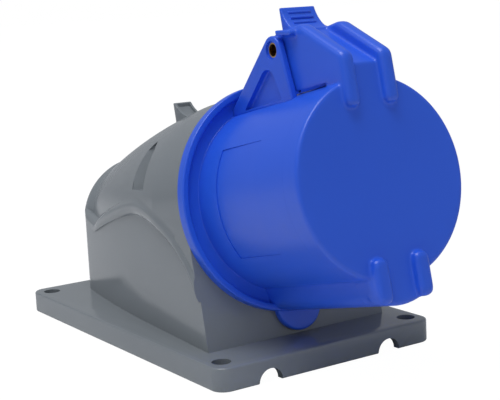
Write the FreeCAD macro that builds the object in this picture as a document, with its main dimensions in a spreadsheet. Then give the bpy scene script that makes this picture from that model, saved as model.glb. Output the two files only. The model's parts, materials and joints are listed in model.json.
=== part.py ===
import FreeCAD, Part
import math
import os
import re
import Sketcher
from FreeCAD import Placement, Rotation, Vector

doc = FreeCAD.newDocument("wall_socket")
sheet = doc.addObject("Spreadsheet::Sheet", "Sizes")
slate = doc.addObject("Spreadsheet::Sheet", "Slate")

# Driving sizes in millimetres and degrees: alias, value, what it is
sizes = [
    ("plateWidth", 89.0, "mounting plate, across"),
    ("plateLength", 142.0, "mounting plate, along the wall"),
    ("plateHeight", 8.0, "mounting plate, total height"),
    ("plateCorner", 5.0, "plate corner radius"),
    ("plateSkin", 3.0, "plate top thickness over the hollow underside"),
    ("plateEdge", 3.0, "plate skirt thickness"),
    ("plateRound", 0.6, "rounding of the plate's top edge"),
    ("holeInsetX", 5.8, "wall screw hole, in from the side edge"),
    ("holeInsetY", 7.4, "wall screw hole, in from the end edge"),
    ("holeRadius", 2.4, "wall screw hole"),
    ("holeSinkRadius", 3.2, "counterbore of the wall screw hole"),
    ("holeSinkDepth", 2.4, "depth of that counterbore"),
    ("holeBossRadius", 5.0, "boss around the hole under the plate"),
    ("notchRadius", 4.6, "half-round drain notch in the front skirt"),
    ("notchX", 24.6, "drain notch, off the centre plane"),
    ("socketTilt", 12.5, "socket axis above the wall plane"),
    ("socketInset", 25.3, "centre of the socket flange, in from the plate's front end"),
    ("socketZ", 54.4, "height of the flange centre"),
    ("barrelInset", 1.8, "hood half width at the mouth, in from the flange"),
    ("barrelTaper", 0.07, "hood side taper in its rear part"),
    ("barrelBow", 273.0, "radius of the hood side in its rear part"),
    ("bendStart", -8.0, "where the hood side starts to curve in"),
    ("crownInset", 2.0, "hood crown, in from the flange"),
    ("crownBendStart", 2.0, "where the crown line starts to fall faster"),
    ("crownTaper", 0.0685, "extra fall of the crown line there"),
    ("crownBow", 213.0, "radius of the crown line there"),
    ("hoodAhead", 16.0, "raw hood ahead of the flange centre, before the mouth is cut"),
    ("hoodRear", 69.6, "rear end of the hood"),
    ("hoodRearRound", 7.0, "rounding of the hood's rear rim"),
    ("hoodWall", 2.8, "hood wall"),
    ("panelInset", 0.9, "side panel, in from the hood side"),
    ("panelTaper", 0.0755, "side panel taper"),
    ("panelBow", 303.0, "radius of the side panel behind the bend"),
    ("panelBendStart", -5.0, "where the side panel starts to curve in"),
    ("panelSetback", 2.2, "rear panel, in from the rear end of the hood"),
    ("archHeight", 38.8, "side arch above the plate's top"),
    ("archMidY", -3.0, "highest point of the side arch"),
    ("archFront", 51.0, "side arch, half span to the front"),
    ("archRear", 76.0, "side arch, half span to the rear"),
    ("archBulgeShare", 0.2, "bulge of the shoulder above the arch, as a share of its chord"),
    ("rearArchHeight", 40.0, "rear arch above the plate's top"),
    ("rearArchSpan", 30.0, "rear arch half span"),
    ("archRound", 5.5, "rounded shoulder above the arches"),
    ("mouthGap", 3.0, "hood mouth plane behind the flange plane"),
    ("mouthLip", 1.0, "hole in the hood's front wall, in from the collar"),
    ("pocketY", -8.2, "shoulder pocket, middle"),
    ("pocketWidth", 6.6, "shoulder pocket width"),
    ("pocketLow", 56.6, "shoulder pocket, flat lower end"),
    ("pocketTip", 72.4, "shoulder pocket, upper tip"),
    ("pocketLowX", 31.2, "shoulder pocket floor at its lower end"),
    ("pocketTipX", 26.2, "shoulder pocket floor at its tip"),
    ("finWidth", 7.4, "crown fin, across"),
    ("finY", 18.2, "crown fin, rear face"),
    ("finTop", 83.3, "crown fin, top edge"),
    ("finFoot", 8.8, "crown fin, where its scoop runs out"),
    ("finScoop", 12.0, "radius of the fin's hollow front"),
    ("finWall", 1.0, "side walls of the fin's scoop"),
    ("entryRadius", 10.2, "cable entry hole in the rear wall"),
    ("entryZ", 27.0, "height of the cable entry"),
    ("flangeRim", 7.0, "socket flange, out from the collar"),
    ("beadRadius", 1.4, "rounded bead at the flange rim"),
    ("beadZ", -0.8, "centre of the bead"),
    ("dishZ", -1.3, "dished ring inside the bead"),
    ("collarRoot", 1.0, "slope at the collar's root"),
    ("collarEnd", 48.3, "end of the collar under the lid's skirt"),
    ("collarWall", 2.4, "collar outer wall"),
    ("coreRoof", 4.3, "wall in front of the hollow between the collar's two walls"),
    ("collarStep", 3.0, "collar, out from its nose"),
    ("noseWall", 3.0, "nose of the collar inside the lid, wall"),
    ("noseRise", 3.6, "nose beyond the collar"),
    ("noseTaper", 1.3, "taper of the nose"),
    ("shroudGap", 4.8, "gap for the plug shroud round the carrier"),
    ("wellWall", 2.0, "wall of the well"),
    ("webTop", 3.0, "floor of the well"),
    ("lobeRadius", 9.0, "lobe at the bottom of the flange"),
    ("lobeInset", 2.0, "lobe centre, in from the flange"),
    ("keyHalf", 11.8, "keyway ridge, half width at its root"),
    ("keyShoulder", 11.0, "keyway ridge, half width lower down"),
    ("keyShoulderRise", 1.8, "level of that width, out from the collar"),
    ("keyCorner", 7.0, "keyway ridge, half width of its bottom arc"),
    ("keyDepth", 5.9, "level of that arc's ends, out from the collar"),
    ("keyBottom", 22.0, "radius of the bottom arc"),
    ("keySide", 5.2, "radius of the ridge's lower corners"),
    ("keyRootDepth", 2.3, "root of the ridge, in from the collar"),
    ("keySlotHalf", 4.3, "keyway slot, half width"),
    ("keySlotDepth", 2.0, "keyway slot floor, out from the collar"),
    ("labelBack", 10.0, "label recess, rear edge"),
    ("labelLong", 23.0, "label recess, length to where it runs out"),
    ("labelAngle", 68.0, "label recess, angle around the collar"),
    ("labelDepth", 0.4, "label recess depth at its rear edge"),
    ("pinRise", 14.3, "hinge pin above the collar"),
    ("pinZ", 27.1, "hinge pin ahead of the flange"),
    ("pinRadius", 2.4, "hinge pin"),
    ("pinBore", 1.95, "bore of the tubular pin"),
    ("pinPlay", 0.06, "running clearance of the pin"),
    ("pinSink", 0.7, "pin end below the bracket's face"),
    ("pinSinkRadius", 2.9, "recess around the pin end"),
    ("bracketHead", 4.5, "radius of the bracket head"),
    ("bracketInner", 10.5, "bracket inner face"),
    ("bracketOuter", 13.1, "bracket outer face"),
    ("bracketFoot", 0.4, "foot of the bracket's rear edge, in from the collar"),
    ("bracketAhead", 6.9, "foot of the bracket's front edge, ahead of the pin"),
    ("bracketRootDepth", 3.1, "root of the bracket, in from the collar"),
    ("webInset", 1.1, "recess of the bracket's web"),
    ("webDrop", 5.7, "top of the web recess below the pin"),
    ("webSetback", 3.9, "top of the web recess behind the pin"),
    ("webTopRadius", 2.3, "radius of that top"),
    ("webRearZ", 5.6, "rear lower corner of the recess"),
    ("webMargin", 5.8, "front lower corner of the recess, in from the bracket's edge"),
    ("lidRise", 7.7, "outer face of the lid beyond the collar"),
    ("lidEdge", 0.9, "rounding of the lid's edge"),
    ("lidThickness", 2.5, "lid face thickness"),
    ("skirtPlay", 0.3, "gap between the lid's skirt and the nose"),
    ("seam", 0.1, "gap between collar and lid"),
    ("armHalf", 10.2, "lid arm, half width"),
    ("ribInner", 4.9, "inner side of the arm's ribs"),
    ("armRootDepth", 2.4, "root of the arm, in from the lid's edge"),
    ("armPlay", 0.4, "gap between the arm, the collar and the brackets"),
    ("ridgeRise", 6.0, "rear end of the ridge above the pin"),
    ("ridgeAhead", 10.3, "rear end of the ridge ahead of the pin"),
    ("ridgeFrontRise", 6.3, "bend of the ridge above the lid's edge"),
    ("ribRise", 2.6, "ribs above the lid's face"),
    ("ribReach", 9.4, "lower end of the ribs, in from the lid's edge"),
    ("ribRound", 1.9, "rounding of the ribs"),
    ("ribRoundShare", 0.45, "most that this rounding takes of a rib's width"),
    ("channelRise", 4.0, "channel floor at the lid's face, above its edge"),
    ("channelRearRise", 4.3, "channel floor at the tab, above the pin"),
    ("channelAhead", 6.9, "channel floor at the tab, ahead of the pin"),
    ("knuckleRadius", 5.2, "lid knuckle around the pin"),
    ("coilHalf", 5.7, "spring pocket, half width"),
    ("coilRadius", 4.4, "spring pocket radius"),
    ("tabHalf", 7.0, "thumb tab, half width"),
    ("tabRise", 13.5, "thumb tab, top edge above the pin"),
    ("tabBehind", 0.9, "thumb tab, rear face behind the pin"),
    ("tabTopThick", 0.9, "thumb tab thickness at the top"),
    ("tabFootRise", 5.3, "foot of the tab's hollow front above the pin"),
    ("tabFootAhead", 5.5, "foot of the tab's hollow front ahead of the pin"),
    ("tabHollow", 12.0, "radius of the tab's hollow front"),
    ("gripHalf", 4.5, "grip bar, half length"),
    ("gripPitch", 1.9, "grip bar spacing"),
    ("gripRise", 1.1, "step of the bars along the tab's hollow"),
    ("gripDrop", 1.9, "first grip bar below the tab's edge"),
    ("gripAhead", 0.4, "first grip bar ahead of the pin"),
    ("gripRadius", 0.6, "grip bar radius"),
    ("wingOuter", 13.7, "stop wing, outer edge"),
    ("wingAhead", 2.9, "stop wing, rear edge ahead of the pin"),
    ("wingLong", 8.4, "stop wing, length"),
    ("wingRise", 4.8, "stop wing, underside at its rear above the pin"),
    ("wingDrop", 2.0, "fall of the wing to its front"),
    ("wingThick", 1.2, "stop wing thickness"),
    ("lugX", 8.0, "lower lug, off the centre plane"),
    ("lugHalf", 2.9, "lower lug, half width"),
    ("lugReach", 9.4, "lower lug, top end in from the lid's edge"),
    ("lugDrop", 6.7, "lower lug, bottom end out from the lid's edge"),
    ("lugRise", 2.9, "lower lug, outer face above the lid's face"),
    ("lugSetback", 3.6, "lower lug, rear face behind the lid's face"),
    ("lugEndRadius", 3.1, "radius of the lugs' rounded ends"),
    ("lugRootDepth", 1.5, "top of the lug's rear part, in from the lid's edge"),
    ("gasketWide", 3.6, "lid gasket, width"),
    ("gasketThick", 1.5, "lid gasket thickness"),
    ("frontGasketThick", 0.8, "gasket between flange and hood"),
    ("frontGasketInset", 0.2, "that gasket, out from the collar"),
    ("frontGasketWide", 2.0, "width of that gasket"),
    ("carrierRadius", 21.2, "contact carrier, the core inside the plug's shroud"),
    ("carrierDepth", 11.9, "front face of the carrier below the end of the nose"),
    ("carrierLip", 1.0, "carrier flange, out from the well"),
    ("carrierFlangeThick", 4.0, "carrier flange thickness"),
    ("carrierPlay", 0.3, "clearance around the carrier"),
    ("contactCircle", 8.75, "radius of the circle of contacts"),
    ("livePin", 2.6, "bore of the line and neutral sleeves"),
    ("earthPin", 3.6, "bore of the earth sleeve"),
    ("sleeveWall", 1.0, "wall of the contact sleeves"),
    ("sleeveInset", 5.0, "front end of the sleeves behind the carrier's face"),
    ("sleeveBore", 5.0, "bottom of the sleeves' bore"),
    ("sleeveRear", -19.0, "rear end of the sleeves"),
    ("sleevePlay", 0.05, "clearance around a sleeve"),
    ("shoulderWide", 1.0, "shoulder of a sleeve, beyond its wall"),
    ("shoulderThick", 2.0, "shoulder of a sleeve, length"),
    ("slitWidth", 0.7, "slit of a sleeve"),
    ("slitLong", 16.0, "length of the slit"),
    ("wireRadius", 1.7, "wire hole in the sleeve's rear end"),
    ("wireDeep", 9.0, "depth of the wire hole"),
    ("terminalInset", 4.5, "terminal screw, ahead of the sleeve's rear end"),
    ("screwTip", 0.9, "tip of the terminal screw, off the sleeve's axis"),
    ("driverSlot", 0.8, "driver slot of the screws, width and depth"),
    ("screwRadius", 1.5, "terminal screw"),
    ("screwHead", 2.6, "terminal screw head radius"),
    ("screwHeadLong", 2.0, "terminal screw head height"),
    ("retainerThick", 2.5, "retainer plate behind the carrier"),
    ("retainerInset", 2.2, "retainer plate, in from the carrier's core"),
    ("centreScrewEnd", 2.0, "tip of the screw that holds the retainer"),
    ("fixingInset", 2.8, "carrier screws, in from the carrier's flange"),
    ("fixingRadius", 1.2, "carrier screw shank"),
    ("fixingEnd", 1.8, "tip of the carrier screws"),
    ("fixingHead", 2.2, "carrier screw head"),
    ("fixingHeadLong", 1.6, "carrier screw head height"),
    ("frontScrewInset", 2.7, "front fixing screw, in from the flange"),
    ("frontScrewRadius", 1.5, "front fixing screw shank"),
    ("frontScrewHead", 2.9, "front fixing screw head"),
    ("frontScrewEnd", 4.0, "tip of the front fixing screw"),
    ("wireThick", 1.0, "spring wire diameter"),
    ("springTurns", 3.0, "turns of the spring"),
    ("springPitch", 1.5, "pitch of the spring's turns"),
    ("springPlay", 0.5, "room between spring and pin"),
    ("springStub", 1.2, "short leg of the spring"),
    ("plugLip", 1.8, "lip of the entry plug outside the wall"),
    ("plugLipRadius", 12.0, "lip of the entry plug"),
    ("plugWall", 1.2, "web of the entry plug"),
]

# Sizes that follow from the driving ones
derived = {
    "socketY": "socketInset - plateLength / 2",
    "panelRear": "hoodRear - panelSetback",
    "wellRadius": "carrierRadius + shroudGap",
    "noseRadius": "wellRadius + noseWall",
    "noseTip": "noseRadius - noseTaper",
    "noseEnd": "collarEnd + noseRise",
    "collarRadius": "noseRadius + collarStep",
    "coreDepth": "collarEnd - coreRoof",
    "flangeRadius": "collarRadius + flangeRim",
    "barrelRadius": "flangeRadius - barrelInset",
    "crownHeight": "flangeRadius - crownInset",
    "panelFront": "barrelRadius - panelInset",
    "mouthRadius": "collarRadius - mouthLip",
    "lobeDrop": "flangeRadius - lobeInset",
    "keyRoot": "collarRadius - keyRootDepth",
    "keyShoulderDrop": "collarRadius + keyShoulderRise",
    "keyCornerDrop": "collarRadius + keyDepth",
    "keySlotDrop": "collarRadius + keySlotDepth",
    "labelFront": "labelBack + labelLong",
    "pinY": "collarRadius + pinRise",
    "bracketRearY": "collarRadius - bracketFoot",
    "bracketRoot": "collarRadius - bracketRootDepth",
    "bracketFrontZ": "pinZ + bracketAhead",
    "webTopY": "pinY - webDrop",
    "webTopZ": "pinZ - webSetback",
    "webFrontZ": "bracketFrontZ - webMargin",
    "lidRadius": "collarRadius",
    "lidFace": "collarEnd + lidRise",
    "lidSkirtInner": "noseRadius + skirtPlay",
    "armRoot": "lidRadius - armRootDepth",
    "armUnder": "collarRadius + armPlay",
    "armRearZ": "bracketFrontZ + armPlay",
    "ridgeStartY": "pinY + ridgeRise",
    "ridgeStartZ": "pinZ + ridgeAhead",
    "ridgeEndY": "lidRadius + ridgeFrontRise",
    "ribFace": "lidFace + ribRise",
    "ribEnd": "lidRadius - ribReach",
    "channelY": "lidRadius + channelRise",
    "channelRearY": "pinY + channelRearRise",
    "channelRearZ": "pinZ + channelAhead",
    "tabTop": "pinY + tabRise",
    "tabRearZ": "pinZ - tabBehind",
    "tabFootY": "pinY + tabFootRise",
    "tabFootZ": "pinZ + tabFootAhead",
    "gripStart": "tabTop - gripDrop",
    "gripStartZ": "pinZ + gripAhead",
    "wingRearZ": "pinZ + wingAhead",
    "wingFrontZ": "wingRearZ + wingLong",
    "wingLow": "pinY + wingRise",
    "lugTop": "lidRadius - lugReach",
    "lugBottom": "lidRadius + lugDrop",
    "lugFace": "lidFace + lugRise",
    "lugRearZ": "lidFace - lugSetback",
    "lugRearTop": "lidRadius - lugRootDepth",
    "gasketInner": "noseRadius - gasketWide",
    "frontGasketInner": "collarRadius + frontGasketInset",
    "frontGasketOuter": "frontGasketInner + frontGasketWide",
    "carrierTop": "noseEnd - carrierDepth",
    "carrierFlange": "wellRadius + carrierLip",
    "sleeveFront": "carrierTop - sleeveInset",
    "slitRear": "sleeveFront - slitLong",
    "retainerRadius": "carrierRadius - retainerInset",
    "fixingCircle": "carrierFlange - fixingInset",
    "frontScrewDrop": "flangeRadius - frontScrewInset",
}

names = []
for row, (alias, value, note) in enumerate(sizes, 1):
    sheet.set("A%d" % row, note)
    sheet.set("B%d" % row, str(value))
    sheet.setAlias("B%d" % row, alias)
    names.append(alias)
sheet.recompute()


# An expression is written with plain words; this adds the sheet's name to each alias and opens
# what is derived from them
def linked(text):
    def opened(match):
        word = match.group()
        if word in derived:
            return "(%s)" % linked(derived[word])
        return "Sizes." + word if word in names else word
    return re.sub(r"[A-Za-z]\w*", opened, text)


# The value that an expression has now, worked out on a sheet of its own
def worth(text):
    slate.set("A1", "=" + linked(text))
    slate.recompute()
    return float(slate.get("A1"))


known = {}
same = 1e-4  # lengths or volumes that differ by less are equal
past = 1.0  # how far a cut runs past the face that it opens


def size(alias):
    if alias not in known:
        known[alias] = worth(alias) if alias in derived else float(sheet.get(alias))
    return known[alias]


def plane(body, role):
    return [item for item in body.Origin.OriginFeatures if item.Role == role][0]


def addSketch(body, name, role, offset=None):
    sketch = body.newObject("Sketcher::SketchObject", name)
    sketch.AttachmentSupport = [(plane(body, role), "")]
    sketch.MapMode = "FlatFace"
    if offset:
        sketch.setExpression("AttachmentOffset.Base.z", linked(offset))
    return sketch


def pin(sketch, item, point, x, y):
    for kind, axis, text in (("DistanceX", -2, x), ("DistanceY", -1, y)):
        if text == "0":
            sketch.addConstraint(Sketcher.Constraint("PointOnObject", item, point, axis))
        else:
            number = sketch.addConstraint(Sketcher.Constraint(kind, -1, 1, item, point, worth(text)))
            sketch.setExpression("Constraints[%d]" % number, linked(text))


# An arc drawn anticlockwise about its centre, as a sketch keeps it
def addArc(sketch, middle, radius, begin, stop):
    circle = Part.Circle(middle, Vector(0, 0, 1), radius)
    arc = Part.ArcOfCircle(circle, circle.parameter(begin), circle.parameter(stop))
    return sketch.addGeometry(arc, False)


def limitRadius(sketch, item, text):
    number = sketch.addConstraint(Sketcher.Constraint("Radius", item, worth(text)))
    sketch.setExpression("Constraints[%d]" % number, linked(text))


# A closed outline, drawn anticlockwise through corners (x, y). A corner (x, y, radius, side) is
# reached by an arc that bulges outwards where side is 1 and inwards where it is -1
def addOutline(sketch, corners):
    spots = [Vector(worth(c[0]), worth(c[1]), 0) for c in corners]
    items, ends = [], []
    for number, corner in enumerate(corners):
        start, end = spots[number - 1], spots[number]
        ends.append((1, 2))
        if len(corner) == 2:
            items.append(sketch.addGeometry(Part.LineSegment(start, end), False))
            continue
        radius, side = worth(corner[2]), corner[3]
        half = (end - start) * 0.5
        across = Vector(-half.y, half.x, 0).normalize() * side
        middle = start + half + across * math.sqrt(radius ** 2 - half.Length ** 2)
        if side > 0:
            items.append(addArc(sketch, middle, radius, start, end))
        else:
            items.append(addArc(sketch, middle, radius, end, start))
            ends[-1] = (2, 1)
    for number, item in enumerate(items):
        after = (number + 1) % len(items)
        join = Sketcher.Constraint("Coincident", item, ends[number][1], items[after], ends[after][0])
        sketch.addConstraint(join)
    for number, corner in enumerate(corners):
        pin(sketch, items[number], ends[number][1], corner[0], corner[1])
        if len(corner) > 2:
            limitRadius(sketch, items[number], corner[2])


def addCircle(sketch, x, y, radius):
    circle = Part.Circle(Vector(worth(x), worth(y), 0), Vector(0, 0, 1), worth(radius))
    item = sketch.addGeometry(circle, False)
    pin(sketch, item, 3, x, y)
    limitRadius(sketch, item, radius)


def newBody(name, inSocket=True):
    body = doc.addObject("PartDesign::Body", name)
    body.Label = name
    if inSocket:
        body.Placement = Placement(Vector(0, size("socketY"), size("socketZ")),
                                   Rotation(Vector(1, 0, 0), 90 - size("socketTilt")))
        body.setExpression("Placement.Base.y", linked("socketY"))
        body.setExpression("Placement.Base.z", linked("socketZ"))
        body.setExpression("Placement.Rotation.Angle", linked("90 - socketTilt"))
    return body


def spin(body, name, corners):
    sketch = addSketch(body, name + "_profile", "XZ_Plane")
    addOutline(sketch, corners)
    feature = body.newObject("PartDesign::Revolution", name)
    feature.Profile = sketch
    feature.ReferenceAxis = (sketch, ["V_Axis"])
    feature.Angle = 360
    doc.recompute()
    return feature


# A Pad or Pocket of a finished sketch; one that changes nothing stops the build
def extrudeSketch(body, name, kind, sketch, length, back=False):
    before = body.Shape.Volume if body.Tip else 0
    feature = body.newObject("PartDesign::" + kind, name)
    feature.Profile = sketch
    feature.Type = "Length"
    feature.Length = worth(length)
    feature.setExpression("Length", linked(length))
    feature.Reversed = back
    doc.recompute()
    gain = body.Shape.Volume - before
    if gain * (1 if kind == "Pad" else -1) < same:
        raise RuntimeError("%s changed the volume by %.3f" % (name, gain))
    return feature


def extrude(body, name, kind, role, start, length, corners=None, circles=(), back=False):
    sketch = addSketch(body, name + "_outline", role, start)
    if corners:
        addOutline(sketch, corners)
    for circle in circles:
        addCircle(sketch, *circle)
    return extrudeSketch(body, name, kind, sketch, length, back)


# Rounds those edges of a body, in the body's own frame, that pass a test
def roundEdges(body, name, radius, test):
    base = body.Tip
    picked = ["Edge%d" % n for n, edge in enumerate(base.Shape.Edges, 1) if test(edge)]
    feature = body.newObject("PartDesign::Fillet", name)
    feature.Base = (base, picked)
    feature.Radius = worth(radius)
    feature.setExpression("Radius", linked(radius))
    doc.recompute()
    return feature


nodes = []


def finish(item):
    nodes.append(item)
    return item


# Height of the socket axis above the wall plane at a place along the hood
def axisHeight(y):
    return size("socketZ") - (y - size("socketY")) * math.tan(math.radians(size("socketTilt")))


def hoodHalf(y):
    behind = max(y - size("bendStart"), 0)
    return size("barrelRadius") - size("barrelTaper") * behind - behind ** 2 / (2 * size("barrelBow"))


def hoodCrown(y):
    behind = max(y - size("crownBendStart"), 0)
    straight = axisHeight(y) + size("crownHeight") / math.cos(math.radians(size("socketTilt")))
    return straight - size("crownTaper") * behind - behind ** 2 / (2 * size("crownBow"))


def panelHalf(y):
    behind = max(y - size("panelBendStart"), 0)
    straight = size("panelFront") - size("panelTaper") * (y - size("socketY"))
    return straight - behind ** 2 / (2 * size("panelBow"))


# Height of the side arch above the wall plane
def archLine(y):
    reach = size("archRear") if y > size("archMidY") else size("archFront")
    share = min(abs(y - size("archMidY")) / reach, 1)
    return size("plateHeight") + size("archHeight") * math.sqrt(1 - share ** 2)


# The hood's outer contour at a level, for a half round on straight legs
def contourX(z, half, spring):
    return math.sqrt(half ** 2 - max(z - spring, 0) ** 2)


# A cross-section of the hood: side panels, the rounded shoulders above them and the crown
def hoodWire(y, inset):
    half, crown, panel = hoodHalf(y) - inset, hoodCrown(y) - inset, panelHalf(y) - inset
    spring, low = crown - half, archLine(y)
    high = low + size("archRound")
    edge = Vector(panel, y, low)
    top = Vector(contourX(high, half, spring), y, high)
    chord = top - edge
    bulge = Vector(chord.z, 0, -chord.x) * size("archBulgeShare")
    middle = edge + chord * 0.5 + bulge
    turn = math.asin(min(max((high - spring) / half, 0), 1))
    points = [top]
    crownCount = 14
    for number in range(1, crownCount):
        angle = turn + (math.pi - 2 * turn) * number / crownCount
        points.append(Vector(half * math.cos(angle), y, spring + half * math.sin(angle)))
    points.append(Vector(-top.x, y, top.z))
    if high < spring:
        points.insert(1, Vector(half, y, (high + spring) / 2))
        points.insert(-1, Vector(-half, y, (high + spring) / 2))
    crownCurve = Part.BSplineCurve()
    crownCurve.interpolate(points)
    flip = lambda p: Vector(-p.x, p.y, p.z)
    foot = Vector(panel, y, 0)
    return Part.Wire([Part.LineSegment(flip(foot), foot).toShape(), Part.LineSegment(foot, edge).toShape(),
                      Part.Arc(edge, middle, top).toShape(), crownCurve.toShape(),
                      Part.Arc(flip(top), flip(middle), flip(edge)).toShape(),
                      Part.LineSegment(flip(edge), flip(foot)).toShape()])


# Places along the hood, closer together at its rounded rear end, with the inset of each
def hoodStations():
    radius = size("hoodRearRound")
    turn = size("hoodRear") - radius
    front = size("socketY") - size("hoodAhead")
    stationCount = 8
    places = [(front + (turn - front) * number / stationCount, 0) for number in range(stationCount + 1)]
    for degrees in (25, 48, 69, 87):
        angle = math.radians(degrees)
        places.append((turn + radius * math.sin(angle), radius * (1 - math.cos(angle))))
    return places


# A solid whose local Z runs along the socket axis
def alongSocket(shape):
    shape.Placement = Placement(Vector(0, size("socketY"), size("socketZ")),
                                Rotation(Vector(1, 0, 0), 90 - size("socketTilt")))
    return shape


# Everything ahead of a plane square to the socket axis
def aheadOf(level):
    reach = size("plateLength")
    return alongSocket(Part.makeBox(2 * reach, 2 * reach, 2 * reach, Vector(-reach, -reach, level)))


def quarterEllipse(center, along, upward, long, high):
    points = []
    pointCount = 8
    for number in range(pointCount + 1):
        angle = math.pi / 2 * number / pointCount
        points.append(center + along * (long * math.cos(angle)) + upward * (high * math.sin(angle)))
    curve = Part.BSplineCurve()
    curve.interpolate(points)
    return curve.toShape()


# A prism under an arch made of two quarter ellipses
def archPrism(center, along, across, front, rear, high, drop, depth):
    up = Vector(0, 0, 1)
    first = quarterEllipse(center, along, up, rear, high)
    second = quarterEllipse(center, along * -1, up, front, high)
    left = center - along * front
    right = center + along * rear
    low = [Part.LineSegment(left, left - up * drop).toShape(),
           Part.LineSegment(left - up * drop, right - up * drop).toShape(),
           Part.LineSegment(right - up * drop, right).toShape()]
    wire = Part.Wire(Part.__sortEdges__([first, second] + low))
    return Part.Face(wire).extrude(across * depth)


def roundedPlate(width, length, radius, low, high):
    block = Part.makeBox(width, length, high - low, Vector(-width / 2, -length / 2, low))
    corners = [edge for edge in block.Edges if edge.BoundBox.ZLength > same]
    return block.makeFillet(radius, corners)


# The hood's outside, with the recessed rear panel under its arch
def hoodOutside():
    hood = Part.makeLoft([hoodWire(y, inset) for y, inset in hoodStations()], True, True)
    hood = hood.cut(aheadOf(-size("mouthGap")))
    deck = size("plateHeight")
    rearArch = archPrism(Vector(0, size("panelRear"), deck), Vector(1, 0, 0), Vector(0, 1, 0),
                         size("rearArchSpan"), size("rearArchSpan"), size("rearArchHeight"), 2 * deck,
                         size("plateLength"))
    return hood.cut(rearArch)


# The room inside: one wall in from the panels and the crown, open towards the wall
def hoodInside():
    wall = size("hoodWall")
    front = size("socketY") - size("hoodAhead") / 2
    rear = size("panelRear") - wall
    wires = []
    stationCount = 4
    for number in range(stationCount + 1):
        y = front + (rear - front) * number / stationCount
        behind = max(y - (rear - size("hoodRearRound")), 0)
        wires.append(archWire(y, panelHalf(y) - wall - behind / 2, hoodCrown(y) - wall - behind))
    room = Part.makeLoft(wires, True, True)
    return room.cut(aheadOf(-size("mouthGap") - wall))


# A half round on straight legs that reach past the wall plane
def archWire(y, half, crown):
    spring = crown - half
    corners = [Vector(x, y, z) for x, z in ((-half, -past), (half, -past), (half, spring), (-half, spring))]
    top = Part.Arc(corners[2], Vector(0, y, crown), corners[3])
    return Part.Wire([Part.LineSegment(corners[0], corners[1]).toShape(),
                      Part.LineSegment(corners[1], corners[2]).toShape(), top.toShape(),
                      Part.LineSegment(corners[3], corners[0]).toShape()])


def holePlaces():
    x = size("plateWidth") / 2 - size("holeInsetX")
    y = size("plateLength") / 2 - size("holeInsetY")
    return [Vector(a * x, b * y, 0) for a in (-1, 1) for b in (-1, 1)]


def plateOutside():
    block = roundedPlate(size("plateWidth"), size("plateLength"), size("plateCorner"), 0,
                         size("plateHeight"))
    top = [edge for edge in block.Edges if edge.BoundBox.ZMin > size("plateHeight") - same]
    return block.makeFillet(size("plateRound"), top)


# The hollow under the plate, leaving its skirt and a boss round each wall screw hole
def plateInside():
    edge = size("plateEdge")
    hollow = roundedPlate(size("plateWidth") - 2 * edge, size("plateLength") - 2 * edge,
                          size("plateCorner") - edge / 2, -past, size("plateHeight") - size("plateSkin"))
    bosses = [Part.makeCylinder(size("holeBossRadius"), size("plateHeight") + past, spot - Vector(0, 0, past))
              for spot in holePlaces()]
    return hollow.cut(bosses)


# A crescent pocket in each shoulder, with a flat lower end
def shoulderPocket(side):
    far = size("plateWidth")
    corners = [(size("pocketLowX"), size("pocketLow")), (far, size("pocketLow")),
               (far, size("pocketTip")), (size("pocketTipX"), size("pocketTip"))]
    y = size("pocketY") - size("pocketWidth") / 2
    points = [Vector(side * x, y, z) for x, z in corners]
    face = Part.Face(Part.makePolygon(points + points[:1]))
    return face.extrude(Vector(0, size("pocketWidth"), 0))


# The scooped fin on the crown
def crownFin():
    half = size("finWidth") / 2
    base = hoodCrown(size("finY")) - size("hoodWall") / 2
    toe = Vector(-half, size("finFoot"), hoodCrown(size("finFoot")))
    tip = Vector(-half, size("finY") - size("finWall"), size("finTop"))
    chord = tip - toe
    sag = chord.Length ** 2 / 8 / size("finScoop")
    middle = toe + chord * 0.5 + Vector(0, chord.z, -chord.y).normalize() * sag
    back = Vector(-half, size("finY"), size("finTop"))
    low = Vector(-half, size("finY"), base)
    front = Vector(-half, size("finFoot"), base)
    wire = Part.Wire([Part.Arc(toe, middle, tip).toShape(), Part.makeLine(tip, back),
                      Part.makeLine(back, low), Part.makeLine(low, front), Part.makeLine(front, toe)])
    fin = Part.Face(wire).extrude(Vector(size("finWidth"), 0, 0))
    wall = size("finWall")
    scoop = Part.makeCylinder(size("finScoop"), size("finWidth") - 2 * wall, Vector(-half + wall, 0, 0),
                              Vector(1, 0, 0))
    center = middle + Vector(0, -chord.z, chord.y).normalize() * size("finScoop")
    scoop.translate(Vector(0, center.y - wall / 2, center.z - wall / 2))
    return fin.cut(scoop)


# What is cut out of the housing square to the socket: its mouth and the front screw's hole
def mouthCuts():
    wall, gap = size("hoodWall"), size("mouthGap")
    mouth = Part.makeCylinder(size("mouthRadius"), 3 * wall, Vector(0, 0, -gap - 2 * wall))
    screwHole = Part.makeCylinder(size("frontScrewRadius") + size("carrierPlay"), 4 * wall,
                                  Vector(0, -size("frontScrewDrop"), -3 * wall))
    return [alongSocket(mouth), alongSocket(screwHole)]


# The wall screw holes, the drain notches and the cable entry
def plateCuts():
    height, edge = size("plateHeight"), size("plateEdge")
    cuts = []
    for spot in holePlaces():
        cuts.append(Part.makeCylinder(size("holeRadius"), 3 * height, spot - Vector(0, 0, height)))
        floor = Vector(0, 0, height - size("holeSinkDepth"))
        cuts.append(Part.makeCylinder(size("holeSinkRadius"), height, spot + floor))
    for side in (-1, 1):
        start = Vector(side * size("notchX"), -size("plateLength") / 2 - edge / 2, 0)
        cuts.append(Part.makeCylinder(size("notchRadius"), 2 * edge, start, Vector(0, 1, 0)))
    wall = size("hoodWall")
    entry = Vector(0, size("panelRear") - 2 * wall, size("entryZ"))
    cuts.append(Part.makeCylinder(size("entryRadius"), 4 * wall, entry, Vector(0, 1, 0)))
    return cuts


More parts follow.
